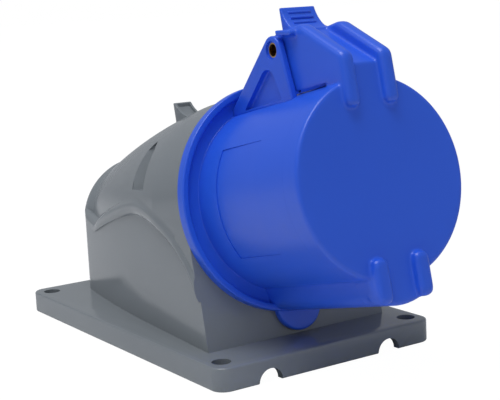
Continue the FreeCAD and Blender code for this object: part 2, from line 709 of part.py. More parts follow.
def makeHousing():
    shape = hoodOutside().fuse([plateOutside(), crownFin()])
    shape = shape.cut([hoodInside(), plateInside(), shoulderPocket(-1), shoulderPocket(1)])
    shape = shape.cut(mouthCuts() + plateCuts()).removeSplitter()
    housing = doc.addObject("Part::Feature", "housing")
    housing.Label = "housing"
    housing.Shape = max(shape.Solids, key=lambda solid: solid.Volume)
    return finish(housing)


# An outline that ends in a round head, with straight flanks tangent to it from both ends of its base
def addTangentHead(sketch, base, center, radius):
    spots = [Vector(worth(x), worth(y), 0) for x, y in base]
    middle = Vector(worth(center[0]), worth(center[1]), 0)
    reach = worth(radius)
    touch = []
    for spot, turn in ((spots[-1], 1), (spots[0], -1)):
        away = spot - middle
        angle = math.atan2(away.y, away.x) + turn * math.acos(reach / away.Length)
        touch.append(middle + Vector(math.cos(angle), math.sin(angle), 0) * reach)
    chain = [sketch.addGeometry(Part.LineSegment(a, b), False) for a, b in zip(spots, spots[1:])]
    rise = sketch.addGeometry(Part.LineSegment(spots[-1], touch[0]), False)
    head = addArc(sketch, middle, reach, touch[0], touch[1])
    fall = sketch.addGeometry(Part.LineSegment(touch[1], spots[0]), False)
    chain.append(rise)
    for a, b in zip(chain, chain[1:]):
        sketch.addConstraint(Sketcher.Constraint("Coincident", a, 2, b, 1))
    sketch.addConstraint(Sketcher.Constraint("Coincident", fall, 2, chain[0], 1))
    sketch.addConstraint(Sketcher.Constraint("Tangent", rise, 2, head, 1))
    sketch.addConstraint(Sketcher.Constraint("Tangent", head, 2, fall, 1))
    for item, (x, y) in zip(chain, base):
        pin(sketch, item, 1, x, y)
    pin(sketch, head, 3, center[0], center[1])
    limitRadius(sketch, head, radius)


ridgeOutline = [
    ("-keyHalf", "-keyRoot"), ("-keyShoulder", "-keyShoulderDrop"),
    ("-keyCorner", "-keyCornerDrop", "keySide", 1), ("keyCorner", "-keyCornerDrop", "keyBottom", 1),
    ("keyShoulder", "-keyShoulderDrop", "keySide", 1), ("keyHalf", "-keyRoot")]


def makeSocketFront():
    body = newBody("socket_front")
    spin(body, "socket_shell", [
        ("carrierRadius + carrierPlay", "-mouthGap"), ("wellRadius + wellWall", "-mouthGap"),
        ("wellRadius + wellWall", "coreDepth"), ("collarRadius - collarWall", "coreDepth"),
        ("collarRadius - collarWall", "-mouthGap"), ("flangeRadius", "-mouthGap"), ("flangeRadius", "beadZ"),
        ("flangeRadius - beadRadius", "beadZ + beadRadius", "beadRadius", 1),
        ("flangeRadius - 2 * beadRadius", "beadZ", "beadRadius", 1),
        ("flangeRadius - 2 * beadRadius", "dishZ"), ("collarRadius + collarRoot", "dishZ"),
        ("collarRadius", "dishZ + collarRoot"), ("collarRadius", "collarEnd"),
        ("noseRadius", "collarEnd"), ("noseTip", "noseEnd"), ("wellRadius", "noseEnd"),
        ("wellRadius", "webTop"), ("carrierRadius + carrierPlay", "webTop")])
    extrude(body, "lobe", "Pad", "XY_Plane", "-mouthGap", "mouthGap",
            circles=[("0", "-lobeDrop", "lobeRadius")])
    extrude(body, "keyway_ridge", "Pad", "XY_Plane", "dishZ", "collarEnd - dishZ", ridgeOutline)
    extrude(body, "keyway_slot", "Pocket", "XY_Plane", "webTop", "noseEnd", [
        ("-keySlotHalf", "-keySlotDrop"), ("keySlotHalf", "-keySlotDrop"),
        ("keySlotHalf", "-carrierRadius - wellWall"), ("-keySlotHalf", "-carrierRadius - wellWall")],
        back=True)
    for side, start in (("left", "-bracketOuter"), ("right", "bracketInner")):
        sketch = addSketch(body, side + "_bracket_outline", "YZ_Plane", start)
        foot = [("bracketRoot", "bracketFrontZ"), ("bracketRoot", "dishZ"), ("bracketRearY", "dishZ")]
        addTangentHead(sketch, foot, ("pinY", "pinZ"), "bracketHead")
        extrudeSketch(body, side + "_bracket", "Pad", sketch, "bracketOuter - bracketInner")
        low = "collarRadius - mouthGap + webInset"
        face = "-bracketOuter" if side == "left" else "bracketOuter - webInset"
        sketch = addSketch(body, side + "_web_outline", "YZ_Plane", face)
        foot = [(low, "webFrontZ"), (low, "webRearZ")]
        addTangentHead(sketch, foot, ("webTopY", "webTopZ"), "webTopRadius")
        extrudeSketch(body, side + "_web", "Pocket", sketch, "webInset", back=True)
    extrude(body, "pin_hole", "Pocket", "YZ_Plane", "-bracketOuter", "2 * bracketOuter",
            circles=[("pinY", "pinZ", "pinRadius")], back=True)
    for side, start in (("left", "-bracketOuter"), ("right", "bracketOuter - pinSink")):
        extrude(body, side + "_pin_recess", "Pocket", "YZ_Plane", start, "pinSink",
                circles=[("pinY", "pinZ", "pinSinkRadius")], back=True)
    sketch = addSketch(body, "label_profile", "XZ_Plane")
    addOutline(sketch, [
        ("-collarRadius + labelDepth", "labelBack"), ("-collarRadius", "labelFront"),
        ("-collarRadius - labelDepth", "labelFront"), ("-collarRadius - labelDepth", "labelBack")])
    groove = body.newObject("PartDesign::Groove", "label_recess")
    groove.Profile = sketch
    groove.ReferenceAxis = (sketch, ["V_Axis"])
    groove.Angle = size("labelAngle")
    groove.setExpression("Angle", linked("labelAngle"))
    groove.Midplane = True
    doc.recompute()
    extrude(body, "gasket_groove", "Pocket", "XY_Plane", "-mouthGap", "frontGasketThick",
            circles=[("0", "0", "frontGasketInner"), ("0", "0", "frontGasketOuter")], back=True)
    extrude(body, "carrier_screw_holes", "Pocket", "XY_Plane", "-mouthGap", "mouthGap + fixingEnd",
            circles=[(side + "fixingCircle", "0", "fixingRadius") for side in ("-", "")], back=True)
    extrude(body, "front_screw_hole", "Pocket", "XY_Plane", "-mouthGap",
            "mouthGap + frontScrewEnd + frontScrewRadius",
            circles=[("0", "-frontScrewDrop", "frontScrewRadius")], back=True)
    inner, outer = "wellRadius + wellWall / 2 + carrierPlay", "mouthRadius + wellWall"
    behind = "-mouthGap - hoodWall - carrierPlay"
    extrude(body, "top_hook", "Pad", "YZ_Plane", "-lobeRadius", "2 * lobeRadius", [
        (inner, "-mouthGap"), (inner, behind + " - hoodWall"), (outer, behind + " - hoodWall"),
        (outer, behind),
        ("collarRadius - collarWall", behind), ("collarRadius - collarWall", "-mouthGap")])
    return finish(body)


# Whether an edge runs along the crest of a rib, on the ridge or on the lid's face
def isRibCrest(edge):
    middle = edge.CenterOfMass
    if min(abs(abs(middle.x) - side) for side in (size("armHalf"), size("ribInner"))) > same:
        return False
    bend = Vector(middle.x, size("ridgeEndY"), size("ribFace"))
    ridge = (Vector(middle.x, size("ridgeStartY"), size("ridgeStartZ")) + bend) * 0.5
    face = (Vector(middle.x, size("ribEnd"), size("ribFace")) + bend) * 0.5
    return min(middle.distanceToPoint(ridge), middle.distanceToPoint(face)) < same


# The lid: a shallow cap with the keyway's cover, the arm with its two ribs, the thumb tab,
# the stop wings and the two lower lugs
def makeLid():
    body = newBody("lid")
    inside, rear = "lidFace - lidThickness", "collarEnd + seam"
    spin(body, "cap", [
        ("0", inside), ("lidSkirtInner", inside), ("lidSkirtInner", rear), ("lidRadius", rear),
        ("lidRadius", "lidFace - lidEdge"), ("lidRadius - lidEdge", "lidFace", "lidEdge", 1),
        ("0", "lidFace")])
    extrude(body, "keyway_cover", "Pad", "XY_Plane", rear, "lidFace - collarEnd - seam", ridgeOutline)
    extrude(body, "arm", "Pad", "YZ_Plane", "-armHalf", "2 * armHalf", [
        ("armUnder", "armRearZ"), ("pinY", "pinZ"), ("pinY + knuckleRadius", "pinZ"),
        ("ridgeStartY", "ridgeStartZ"), ("ridgeEndY", "ribFace"), ("ribEnd", "ribFace"), ("ribEnd", inside),
        ("armRoot", inside), ("armRoot", rear), ("armUnder", rear)])
    extrude(body, "knuckle", "Pad", "YZ_Plane", "-armHalf", "2 * armHalf",
            circles=[("pinY", "pinZ", "knuckleRadius")])
    extrude(body, "channel", "Pocket", "YZ_Plane", "-ribInner", "2 * ribInner", [
        ("channelRearY", "channelRearZ"), ("tabTop", "channelRearZ"), ("tabTop", "ribFace + ribRound"),
        ("ribEnd - ribRound", "ribFace + ribRound"), ("ribEnd - ribRound", "lidFace"),
        ("channelY", "lidFace")], back=True)
    roundEdges(body, "rib_rounding", "min(ribRound; ribRoundShare * (armHalf - ribInner))", isRibCrest)
    extrude(body, "coil_room", "Pocket", "YZ_Plane", "-coilHalf", "2 * coilHalf",
            circles=[("pinY", "pinZ", "coilRadius")], back=True)
    extrude(body, "coil_mouth", "Pocket", "YZ_Plane", "-coilHalf", "2 * coilHalf", [
        ("pinY - 2 * coilRadius", "pinZ - 2 * coilRadius"), ("pinY + coilRadius", "pinZ - 2 * coilRadius"),
        ("pinY + coilRadius", "pinZ"), ("pinY - coilRadius", "pinZ"),
        ("pinY - 2 * coilRadius", "pinZ - coilRadius / 2")], back=True)
    extrude(body, "thumb_tab", "Pad", "YZ_Plane", "-tabHalf", "2 * tabHalf", [
        ("pinY + coilRadius", "tabRearZ"), ("tabTop", "tabRearZ"), ("tabTop", "tabRearZ + tabTopThick"),
        ("tabFootY", "tabFootZ", "tabHollow", -1), ("pinY + coilRadius", "channelRearZ")])
    gripCount = 3
    for number in range(gripCount):
        place = ("gripStart - %d * gripPitch" % number, "gripStartZ + %d * gripRise" % number, "gripRadius")
        extrude(body, "grip_bar_%d" % number, "Pad", "YZ_Plane", "-gripHalf", "2 * gripHalf", circles=[place])
    for side, start in (("left", "-wingOuter"), ("right", "armHalf - wingThick")):
        extrude(body, side + "_stop_wing", "Pad", "YZ_Plane", start, "wingOuter - armHalf + wingThick", [
            ("wingLow", "wingRearZ"), ("wingLow + wingThick", "wingRearZ"),
            ("wingLow - wingDrop + wingThick", "wingFrontZ"), ("wingLow - wingDrop", "wingFrontZ")])
    for side, middle in (("left", "-lugX"), ("right", "lugX")):
        low = [(middle + " - lugHalf", "-lugBottom + lugHalf"),
               (middle + " + lugHalf", "-lugBottom + lugHalf", "lugEndRadius", 1)]
        high = [(middle + " + lugHalf", "-lugTop - lugHalf"),
                (middle + " - lugHalf", "-lugTop - lugHalf", "lugEndRadius", 1)]
        level = [(middle + " + lugHalf", "-lugRearTop"), (middle + " - lugHalf", "-lugRearTop")]
        extrude(body, side + "_lug", "Pad", "XY_Plane", "lidFace - lidEdge", "lugFace - lidFace + lidEdge",
                low + high)
        extrude(body, side + "_lug_rear", "Pad", "XY_Plane", "lugRearZ", "lidFace - lugRearZ", low + level)
    extrude(body, "pin_bore", "Pocket", "YZ_Plane", "-armHalf", "2 * armHalf",
            circles=[("pinY", "pinZ", "pinRadius + pinPlay")], back=True)
    return finish(body)


def makeLidGasket():
    body = newBody("lid_gasket")
    low = "lidFace - lidThickness - gasketThick"
    high = "lidFace - lidThickness"
    spin(body, "ring", [("gasketInner", low), ("noseRadius", low), ("noseRadius", high),
                        ("gasketInner", high)])
    return finish(body)


def makeHingePin():
    body = newBody("hinge_pin")
    start, length = "-bracketOuter + pinSink", "2 * (bracketOuter - pinSink)"
    extrude(body, "tube", "Pad", "YZ_Plane", start, length, circles=[("pinY", "pinZ", "pinRadius")])
    extrude(body, "bore", "Pocket", "YZ_Plane", start, length,
            circles=[("pinY", "pinZ", "pinBore")], back=True)
    return finish(body)


# A place in the socket's own frame: across, up from its axis and out along it
def socketPlacement():
    return Placement(Vector(0, size("socketY"), size("socketZ")),
                     Rotation(Vector(1, 0, 0), 90 - size("socketTilt")))


# A torsion spring wound round the pin between the lid's knuckles, its long leg on the collar. Each
# half turn is an arc in a tilted plane, so the turns climb without a kink; the wire has six flats
def makeLidSpring():
    wire = size("wireThick") / 2
    climb = size("springPitch") / 2
    halfCount = round(2 * size("springTurns"))
    radius = size("pinRadius") + size("springPlay") + wire
    low = -climb * halfCount / 2
    along = Vector(0, 1, 0)
    parts = []
    for number in range(halfCount):
        side = -1 if number % 2 == 0 else 1
        start = Vector(low + climb * number, 0, side * radius)
        end = Vector(low + climb * (number + 1), 0, -side * radius)
        middle = (start + end) * 0.5
        parts.append(wireFace(wire, start).revolve(middle, (start - middle).cross(along * -side), 180))
    leg = size("pinY") - size("collarRadius") - size("carrierPlay")
    parts.append(wireFace(wire, Vector(low, 0, -radius)).extrude(along * -leg))
    parts.append(wireFace(wire, Vector(-low, 0, -radius)).extrude(along * size("springStub")))
    spring = doc.addObject("Part::Feature", "lid_spring")
    spring.Label = "lid_spring"
    spring.Shape = parts[0].fuse(parts[1:]).removeSplitter()
    pinMiddle = Placement(Vector(0, size("pinY"), size("pinZ")), Rotation())
    spring.Placement = socketPlacement() * pinMiddle
    return finish(spring)


# The wire's section at a place on the coil, square to the Y direction
def wireFace(radius, middle):
    flatCount = 6
    spots = []
    for number in range(flatCount + 1):
        angle = 2 * math.pi * number / flatCount
        spots.append(middle + Vector(radius * math.cos(angle), 0, radius * math.sin(angle)))
    return Part.Face(Part.makePolygon(spots))


def makeFrontGasket():
    body = newBody("front_gasket")
    high = "-mouthGap + frontGasketThick"
    spin(body, "ring", [("frontGasketInner", "-mouthGap"), ("frontGasketOuter", "-mouthGap"),
                        ("frontGasketOuter", high), ("frontGasketInner", high)])
    return finish(body)


# The three contacts: name, place in the socket, bore and the side that its terminal screw faces
contacts = [
    ("line", "-contactCircle * cos(30)", "contactCircle * sin(30)", "livePin", 150),
    ("neutral", "contactCircle * cos(30)", "contactCircle * sin(30)", "livePin", 30),
    ("earth", "0", "-contactCircle", "earthPin", 270)]


def makeCarrier():
    body = newBody("contact_carrier")
    back = "-mouthGap - carrierFlangeThick"
    spin(body, "core", [
        ("0", back), ("carrierFlange", back), ("carrierFlange", "-mouthGap"), ("carrierRadius", "-mouthGap"),
        ("carrierRadius", "carrierTop - lidEdge"), ("carrierRadius - lidEdge", "carrierTop"),
        ("0", "carrierTop")])
    outer = "%s + sleeveWall + sleevePlay"
    extrude(body, "shoulder_seats", "Pocket", "XY_Plane", back, "shoulderThick",
            circles=[(x, y, "%s + sleeveWall + shoulderWide + sleevePlay" % bore)
                     for name, x, y, bore, side in contacts], back=True)
    extrude(body, "sleeve_holes", "Pocket", "XY_Plane", back, "sleeveFront + mouthGap + carrierFlangeThick",
            circles=[(x, y, outer % bore) for name, x, y, bore, side in contacts], back=True)
    extrude(body, "pin_holes", "Pocket", "XY_Plane", "0", "carrierTop",
            circles=[(x, y, "%s + sleevePlay" % bore) for name, x, y, bore, side in contacts], back=True)
    extrude(body, "screw_holes", "Pocket", "XY_Plane", back, "carrierFlangeThick",
            circles=[("-fixingCircle", "0", "fixingRadius + sleevePlay"),
                     ("fixingCircle", "0", "fixingRadius + sleevePlay")], back=True)
    extrude(body, "centre_hole", "Pocket", "XY_Plane", back, "centreScrewEnd + mouthGap + carrierFlangeThick",
            circles=[("0", "0", "screwRadius")], back=True)
    return finish(body)


# A terminal screw's place in the socket's frame: on a sleeve's axis, turned to face outwards
def terminalPlacement(x, y, side, level):
    outward = Vector(math.cos(math.radians(side)), math.sin(math.radians(side)), 0)
    return Placement(Vector(worth(x), worth(y), worth(level)), Rotation(Vector(0, 0, 1), outward))


# A turned contact sleeve, slit at the front, with a shoulder and a wire hole at its rear end
def makeSleeve(name, x, y, bore, side):
    body = newBody("contact_sleeve_" + name)
    outer = bore + " + sleeveWall"
    extrude(body, "tube", "Pad", "XY_Plane", "sleeveRear", "sleeveFront - sleeveRear",
            circles=[(x, y, outer)])
    extrude(body, "shoulder", "Pad", "XY_Plane", "-mouthGap - carrierFlangeThick", "shoulderThick",
            circles=[(x, y, outer + " + shoulderWide")])
    extrude(body, "pin_bore", "Pocket", "XY_Plane", "sleeveBore", "sleeveFront - sleeveBore",
            circles=[(x, y, bore)], back=True)
    extrude(body, "wire_hole", "Pocket", "XY_Plane", "sleeveRear", "wireDeep",
            circles=[(x, y, "wireRadius")], back=True)
    reach = outer + " + sleeveWall"
    left, right = x + " - slitWidth / 2", x + " + slitWidth / 2"
    low, high = "%s - (%s)" % (y, reach), "%s + %s" % (y, reach)
    extrude(body, "slit", "Pocket", "XY_Plane", "slitRear", "sleeveFront - slitRear",
            [(left, low), (right, low), (right, high), (left, high)], back=True)
    sketch = body.newObject("Sketcher::SketchObject", "terminal_hole_outline")
    sketch.AttachmentSupport = [(plane(body, "XY_Plane"), "")]
    sketch.MapMode = "FlatFace"
    sketch.AttachmentOffset = terminalPlacement(x, y, side, "sleeveRear + terminalInset")
    addCircle(sketch, "0", "0", "screwRadius + sleevePlay")
    extrudeSketch(body, "terminal_hole", "Pocket", sketch, outer, back=True)
    return finish(body)


def makeTerminalScrew(name, x, y, bore, side):
    body = newBody("terminal_screw_" + name, False)
    body.Placement = socketPlacement() * terminalPlacement(x, y, side, "sleeveRear + terminalInset")
    seat = bore + " + sleeveWall"
    spin(body, "screw", [("0", "screwTip"), ("screwRadius", "screwTip"), ("screwRadius", seat),
                         ("screwHead", seat), ("screwHead", seat + " + screwHeadLong"),
                         ("0", seat + " + screwHeadLong")])
    addDriverSlot(body, seat + " + screwHeadLong - driverSlot", "0", "0", "screwHead")
    return finish(body)


# The slot across a screw's head, as deep as it is wide
def addDriverSlot(body, level, x, y, reach):
    left, right = "%s - %s" % (x, reach), "%s + %s" % (x, reach)
    low, high = y + " - driverSlot / 2", y + " + driverSlot / 2"
    extrude(body, "driver_slot", "Pocket", "XY_Plane", level, "driverSlot",
            [(left, low), (right, low), (right, high), (left, high)], back=True)


# The plate behind the carrier that keeps the sleeves in
def makeRetainer():
    body = newBody("carrier_retainer")
    front = "-mouthGap - carrierFlangeThick"
    rear = front + " - retainerThick"
    holes = [(x, y, "%s + sleeveWall + sleevePlay" % bore) for name, x, y, bore, side in contacts]
    extrude(body, "plate", "Pad", "XY_Plane", rear, "retainerThick",
            circles=[("0", "0", "retainerRadius")] + holes + [("0", "0", "screwRadius + sleevePlay")])
    return finish(body)


# A slotted screw that stands along the socket axis, head to the rear
def makeAxialScrew(name, x, y, shank, head, headLong, seat, tip):
    body = newBody(name)
    low = "%s - %s" % (seat, headLong)
    extrude(body, "head", "Pad", "XY_Plane", low, headLong, circles=[(x, y, head)])
    extrude(body, "shank", "Pad", "XY_Plane", seat, "%s - (%s)" % (tip, seat), circles=[(x, y, shank)])
    addDriverSlot(body, low, x, y, head)
    return finish(body)


# The rubber plug that closes the cable entry in the rear wall
def makeEntryPlug():
    body = newBody("cable_entry_plug", False)
    body.Placement = Placement(Vector(0, size("panelRear"), size("entryZ")), Rotation(Vector(1, 0, 0), -90))
    body.setExpression("Placement.Base.y", linked("panelRear"))
    body.setExpression("Placement.Base.z", linked("entryZ"))
    spin(body, "plug", [
        ("0", "plugLip - plugWall"), ("entryRadius - 2 * plugWall", "plugLip - plugWall"),
        ("entryRadius - 2 * plugWall", "-hoodWall - plugLip"), ("entryRadius", "-hoodWall - plugLip"),
        ("plugLipRadius", "-hoodWall - seam"), ("entryRadius - seam", "-hoodWall - seam"),
        ("entryRadius - seam", "0"), ("plugLipRadius", "0"), ("plugLipRadius", "plugLip / 2"),
        ("plugLipRadius - plugLip / 2", "plugLip"), ("0", "plugLip")])
    return finish(body)


makeHousing()
makeSocketFront()
makeLid()
makeLidGasket()
makeHingePin()
makeLidSpring()
makeFrontGasket()
makeCarrier()
for name, x, y, bore, side in contacts:
    makeSleeve(name, x, y, bore, side)
    makeTerminalScrew(name, x, y, bore, side)
makeRetainer()
carrierBack = "-mouthGap - carrierFlangeThick"
makeAxialScrew("retainer_screw", "0", "0", "screwRadius", "screwHead", "screwHeadLong",
               carrierBack + " - retainerThick", "centreScrewEnd")
makeAxialScrew("carrier_screw_left", "-fixingCircle", "0", "fixingRadius", "fixingHead", "fixingHeadLong",
               carrierBack, "fixingEnd")
makeAxialScrew("carrier_screw_right", "fixingCircle", "0", "fixingRadius", "fixingHead", "fixingHeadLong",
               carrierBack, "fixingEnd")
makeAxialScrew("front_fixing_screw", "0", "-frontScrewDrop", "frontScrewRadius", "frontScrewHead",
               "screwHeadLong", "-mouthGap - hoodWall", "frontScrewEnd")
makeEntryPlug()
doc.recompute()

failed = [item.Name for item in doc.Objects if "Invalid" in item.State or "Error" in item.State]
failed += [item.Label for item in nodes if item.Shape.isNull() or not item.Shape.isValid()]
if failed:
    raise RuntimeError("not built: " + ", ".join(failed))

os.makedirs("parts", exist_ok=True)
for item in nodes:
    item.Shape.exportStep("parts/%s.step" % item.Label)
    print(item.Label, round(item.Shape.Volume, 1), "mm3")
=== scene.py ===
import bmesh
import bpy
import json
import math
from mathutils import Matrix, Vector


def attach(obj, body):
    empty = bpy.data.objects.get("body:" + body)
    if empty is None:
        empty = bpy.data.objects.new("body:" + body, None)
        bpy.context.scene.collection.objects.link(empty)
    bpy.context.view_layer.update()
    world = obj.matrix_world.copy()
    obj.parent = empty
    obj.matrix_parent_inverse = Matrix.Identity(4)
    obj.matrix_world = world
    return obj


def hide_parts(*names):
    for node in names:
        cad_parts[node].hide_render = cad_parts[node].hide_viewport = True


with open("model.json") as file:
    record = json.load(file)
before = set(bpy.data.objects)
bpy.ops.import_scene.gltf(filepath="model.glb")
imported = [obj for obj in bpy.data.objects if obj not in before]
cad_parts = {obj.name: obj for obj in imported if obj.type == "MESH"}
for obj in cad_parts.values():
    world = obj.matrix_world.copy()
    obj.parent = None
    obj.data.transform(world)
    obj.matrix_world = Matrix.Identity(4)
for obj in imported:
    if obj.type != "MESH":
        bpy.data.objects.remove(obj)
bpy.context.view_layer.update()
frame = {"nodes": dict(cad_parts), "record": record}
mm = 0.001

# The socket's own frame: x across, y up from its axis, z out along it; sizes are in mm and degrees
socket = {"tilt": 12.5, "centerY": -45.7, "centerZ": 54.4}
tilt = math.radians(socket["tilt"])
socketFrame = Matrix.Translation((0, socket["centerY"] * mm, socket["centerZ"] * mm)) @ Matrix((
    (1, 0, 0, 0), (0, math.sin(tilt), -math.cos(tilt), 0),
    (0, math.cos(tilt), math.sin(tilt), 0), (0, 0, 0, 1)))


def toMetres(points):
    return [tuple(value * mm for value in point) for point in points]


def arc(x, y, radius, start, end, steps=8):
    angles = [math.radians(start + (end - start) * n / steps) for n in range(steps + 1)]
    return [(x + radius * math.cos(a), y + radius * math.sin(a)) for a in angles]


def circle(x, y, radius, steps=64):
    return arc(x, y, radius, 0, 360, steps)[:-1]


# An arc of a given radius from one point to another; it bulges to the right of the way from start to end
# where side is 1, and to the left where it is -1
def bend(start, end, radius, side=1, steps=8):
    a, b = Vector(start), Vector(end)
    half = (b - a) / 2
    across = Vector((-half.y, half.x)).normalized() * side
    middle = a + half + across * math.sqrt(radius ** 2 - half.length_squared)
    first = math.atan2(a.y - middle.y, a.x - middle.x)
    turn = 2 * math.asin(half.length / radius) * side
    return [(middle.x + radius * math.cos(first + turn * n / steps),
             middle.y + radius * math.sin(first + turn * n / steps)) for n in range(steps + 1)]


def newPiece(name, bm):
    mesh = bpy.data.meshes.new(name)
    bmesh.ops.recalc_face_normals(bm, faces=bm.faces)
    bm.to_mesh(mesh)
    bm.free()
    piece = bpy.data.objects.new(name, mesh)
    bpy.context.scene.collection.objects.link(piece)
    return piece


# A closed profile of (radius, height), turned about the z axis; a radius of 0 closes on the axis
def lathe(name, profile, steps=192):
    bm = bmesh.new()
    turns = [2 * math.pi * n / steps for n in range(steps)]
    rings = []
    for radius, height in toMetres(profile):
        if radius == 0:
            rings.append([bm.verts.new((0, 0, height))] * steps)
        else:
            rings.append([bm.verts.new((radius * math.cos(a), radius * math.sin(a), height)) for a in turns])
    for lower, upper in zip(rings, rings[1:] + rings[:1]):
        for n in range(steps):
            after = (n + 1) % steps
            corners = dict.fromkeys((lower[n], lower[after], upper[after], upper[n]))
            if len(corners) > 2:
                bm.faces.new(corners)
    return newPiece(name, bm)


# An outline pulled along an axis: "x" takes (y, z), "y" takes (x, z) and "z" takes (x, y)
def prism(name, outline, axis, low, high, rounding=0, segments=5, sharpest=25):
    bm = bmesh.new()
    at = "xyz".index(axis)
    spots = [spot[:at] + (low * mm,) + spot[at:] for spot in toMetres(outline)]
    step = Vector([(high - low) * mm if n == at else 0 for n in range(3)])
    face = bm.faces.new([bm.verts.new(spot) for spot in spots])
    pulled = bmesh.ops.extrude_face_region(bm, geom=[face])["geom"]
    bmesh.ops.translate(bm, verts=[item for item in pulled if isinstance(item, bmesh.types.BMVert)], vec=step)
    bmesh.ops.recalc_face_normals(bm, faces=bm.faces)
    if rounding:
        edges = [e for e in bm.edges if e.calc_face_angle(0) > math.radians(sharpest)]
        bmesh.ops.bevel(bm, geom=edges, offset=rounding * mm, segments=segments, profile=0.5,
                        affect="EDGES", clamp_overlap=False)
    return newPiece(name, bm)


# A skin over closed sections of (x, y, z) with equal counts of points, shut at both ends
def loft(name, sections):
    bm = bmesh.new()
    rings = [[bm.verts.new(spot) for spot in toMetres(section)] for section in sections]
    for one, two in zip(rings, rings[1:]):
        for n in range(len(one)):
            bm.faces.new((one[n - 1], one[n], two[n], two[n - 1]))
    bm.faces.new(rings[0])
    bm.faces.new(rings[-1])
    return newPiece(name, bm)


def applyModifiers(piece):
    graph = bpy.context.evaluated_depsgraph_get()
    mesh = bpy.data.meshes.new_from_object(piece.evaluated_get(graph))
    piece.modifiers.clear()
    piece.data = mesh


# Unites a piece with others, or cuts them out of it; the others are used up
def combine(piece, others, operation="UNION"):
    for other in others:
        boolean = piece.modifiers.new("combine", "BOOLEAN")
        boolean.operation = operation
        boolean.solver = "MANIFOLD"
        boolean.object = other
        applyModifiers(piece)
        bpy.data.objects.remove(other)
    return piece


# Melts the parts of a moulding together, with small hollows where they meet
def soften(piece, voxel, passes):
    remesh = piece.modifiers.new("remesh", "REMESH")
    remesh.mode = "VOXEL"
    remesh.voxel_size = voxel * mm
    smooth = piece.modifiers.new("smooth", "SMOOTH")
    smooth.factor = 0.5
    smooth.iterations = passes
    applyModifiers(piece)


def triangleCount(piece):
    return sum(len(polygon.vertices) - 2 for polygon in piece.data.polygons)


def thin(piece, triangles):
    if triangleCount(piece) > triangles:
        decimate = piece.modifiers.new("thin", "DECIMATE")
        decimate.ratio = triangles / triangleCount(piece)
        applyModifiers(piece)


# Smooth shading with the edges kept that turn by more than an angle
def shade(piece, material, sharp=32):
    piece.data.materials.clear()
    piece.data.materials.append(material)
    for polygon in piece.data.polygons:
        polygon.use_smooth = True
    piece.data.set_sharp_from_angle(angle=math.radians(sharp))


keyway = {"half": 11.8, "root": -29.7, "shoulder": 11.0, "shoulderY": -33.8, "corner": 7.0, "cornerY": -37.9,
          "side": 5.2, "bottom": 22.0}


# The ridge at the foot of collar and lid, seen from the front
def keywayOutline():
    k = keyway
    left = bend((-k["shoulder"], k["shoulderY"]), (-k["corner"], k["cornerY"]), k["side"])
    low = bend((-k["corner"], k["cornerY"]), (k["corner"], k["cornerY"]), k["bottom"], steps=12)
    right = bend((k["corner"], k["cornerY"]), (k["shoulder"], k["shoulderY"]), k["side"])
    return [(-k["half"], k["root"])] + left + low[1:-1] + right + [(k["half"], k["root"])]


hinge = {"y": 46.3, "z": 27.1, "pin": 2.4}

lidSizes = {
    "radius": 32.0, "face": 56.0, "edge": 1.0, "thickness": 2.5, "skirt": 29.3, "seam": 48.4, "spare": 2.0,
    "armHalf": 10.2, "rootY": 29.6, "cheekY": 30.5, "underY": 32.4, "underZ": 34.4, "underGap": 33.3,
    "ribInner": 4.9, "ridgeRear": (52.2, 39.6), "ridgeFront": (39.0, 58.7), "ribEnd": 22.6, "ribRound": 2.0,
    "channelRear": (50.6, 34.0), "channelFront": (36.0, 56.0),
    "knuckle": 5.2, "knuckleRound": 0.6, "coilHalf": 5.7, "coilRadius": 4.4, "borePlay": 0.06,
    "tabHalf": 7.0, "tabTop": 59.8, "tabRear": 26.2, "tabTopThick": 0.9, "tabFoot": (51.6, 32.6),
    "tabHollow": 12.0, "gripBars": 3, "gripHalf": 4.5, "gripStart": (57.9, 27.5), "gripPitch": (-1.9, 1.1),
    "gripRadius": 0.5,
    "wingOuter": 13.0, "wingRear": 30.4, "wingFront": 38.4, "wingLow": 50.3, "wingDrop": 1.6, "wingThick": 1.7,
    "lugX": 8.0, "lugHalf": 2.9, "lugTop": -22.6, "lugBottom": -38.7, "lugFace": 58.9, "lugRear": 52.4,
    "lugRearTop": -30.5, "lugEnd": 3.1, "lugRound": 1.8,
    "voxel": 0.36, "passes": 14, "triangles": 190000, "sharpEdge": 55}


def lidCap(s):
    inside, rear = s["face"] - s["thickness"], s["seam"] - s["spare"]
    profile = [(0, inside), (s["skirt"], inside), (s["skirt"], rear), (s["radius"], rear)]
    profile += arc(s["radius"] - s["edge"], s["face"] - s["edge"], s["edge"], 0, 90, 6) + [(0, s["face"])]
    cover = prism("keywayCover", keywayOutline(), "z", rear, s["face"], s["edge"], 4)
    return [lathe("lidCap", profile, 256), cover]


# The arm: two ribs with cheeks beside the brackets, a channel between them and the knuckle on the pin
def lidArm(s):
    inside = s["face"] - s["thickness"]
    y, z, r = hinge["y"], hinge["z"], s["knuckle"]
    ridge = [(s["cheekY"], z), (y, z), (y + r, z), s["ridgeRear"], s["ridgeFront"],
             (s["ribEnd"], s["ridgeFront"][1]), (s["ribEnd"], inside), (s["rootY"], inside),
             (s["rootY"], s["seam"]), (s["cheekY"], s["seam"])]
    floor = [(s["underY"], s["underZ"]), (y, z), (y + r, z), (y + r, s["channelRear"][1]), s["channelRear"],
             s["channelFront"], (s["rootY"], s["face"]), (s["rootY"], s["seam"]), (s["underY"], s["seam"])]
    parts = [prism("rib", ridge, "x", low, high, s["ribRound"])
             for low, high in ((-s["armHalf"], -s["ribInner"]), (s["ribInner"], s["armHalf"]))]
    inner = s["ribInner"] + s["ribRound"]
    parts.append(prism("channelFloor", floor, "x", -inner, inner))
    parts.append(prism("knuckle", circle(y, z, r), "x", -s["armHalf"], s["armHalf"], s["knuckleRound"]))
    return parts


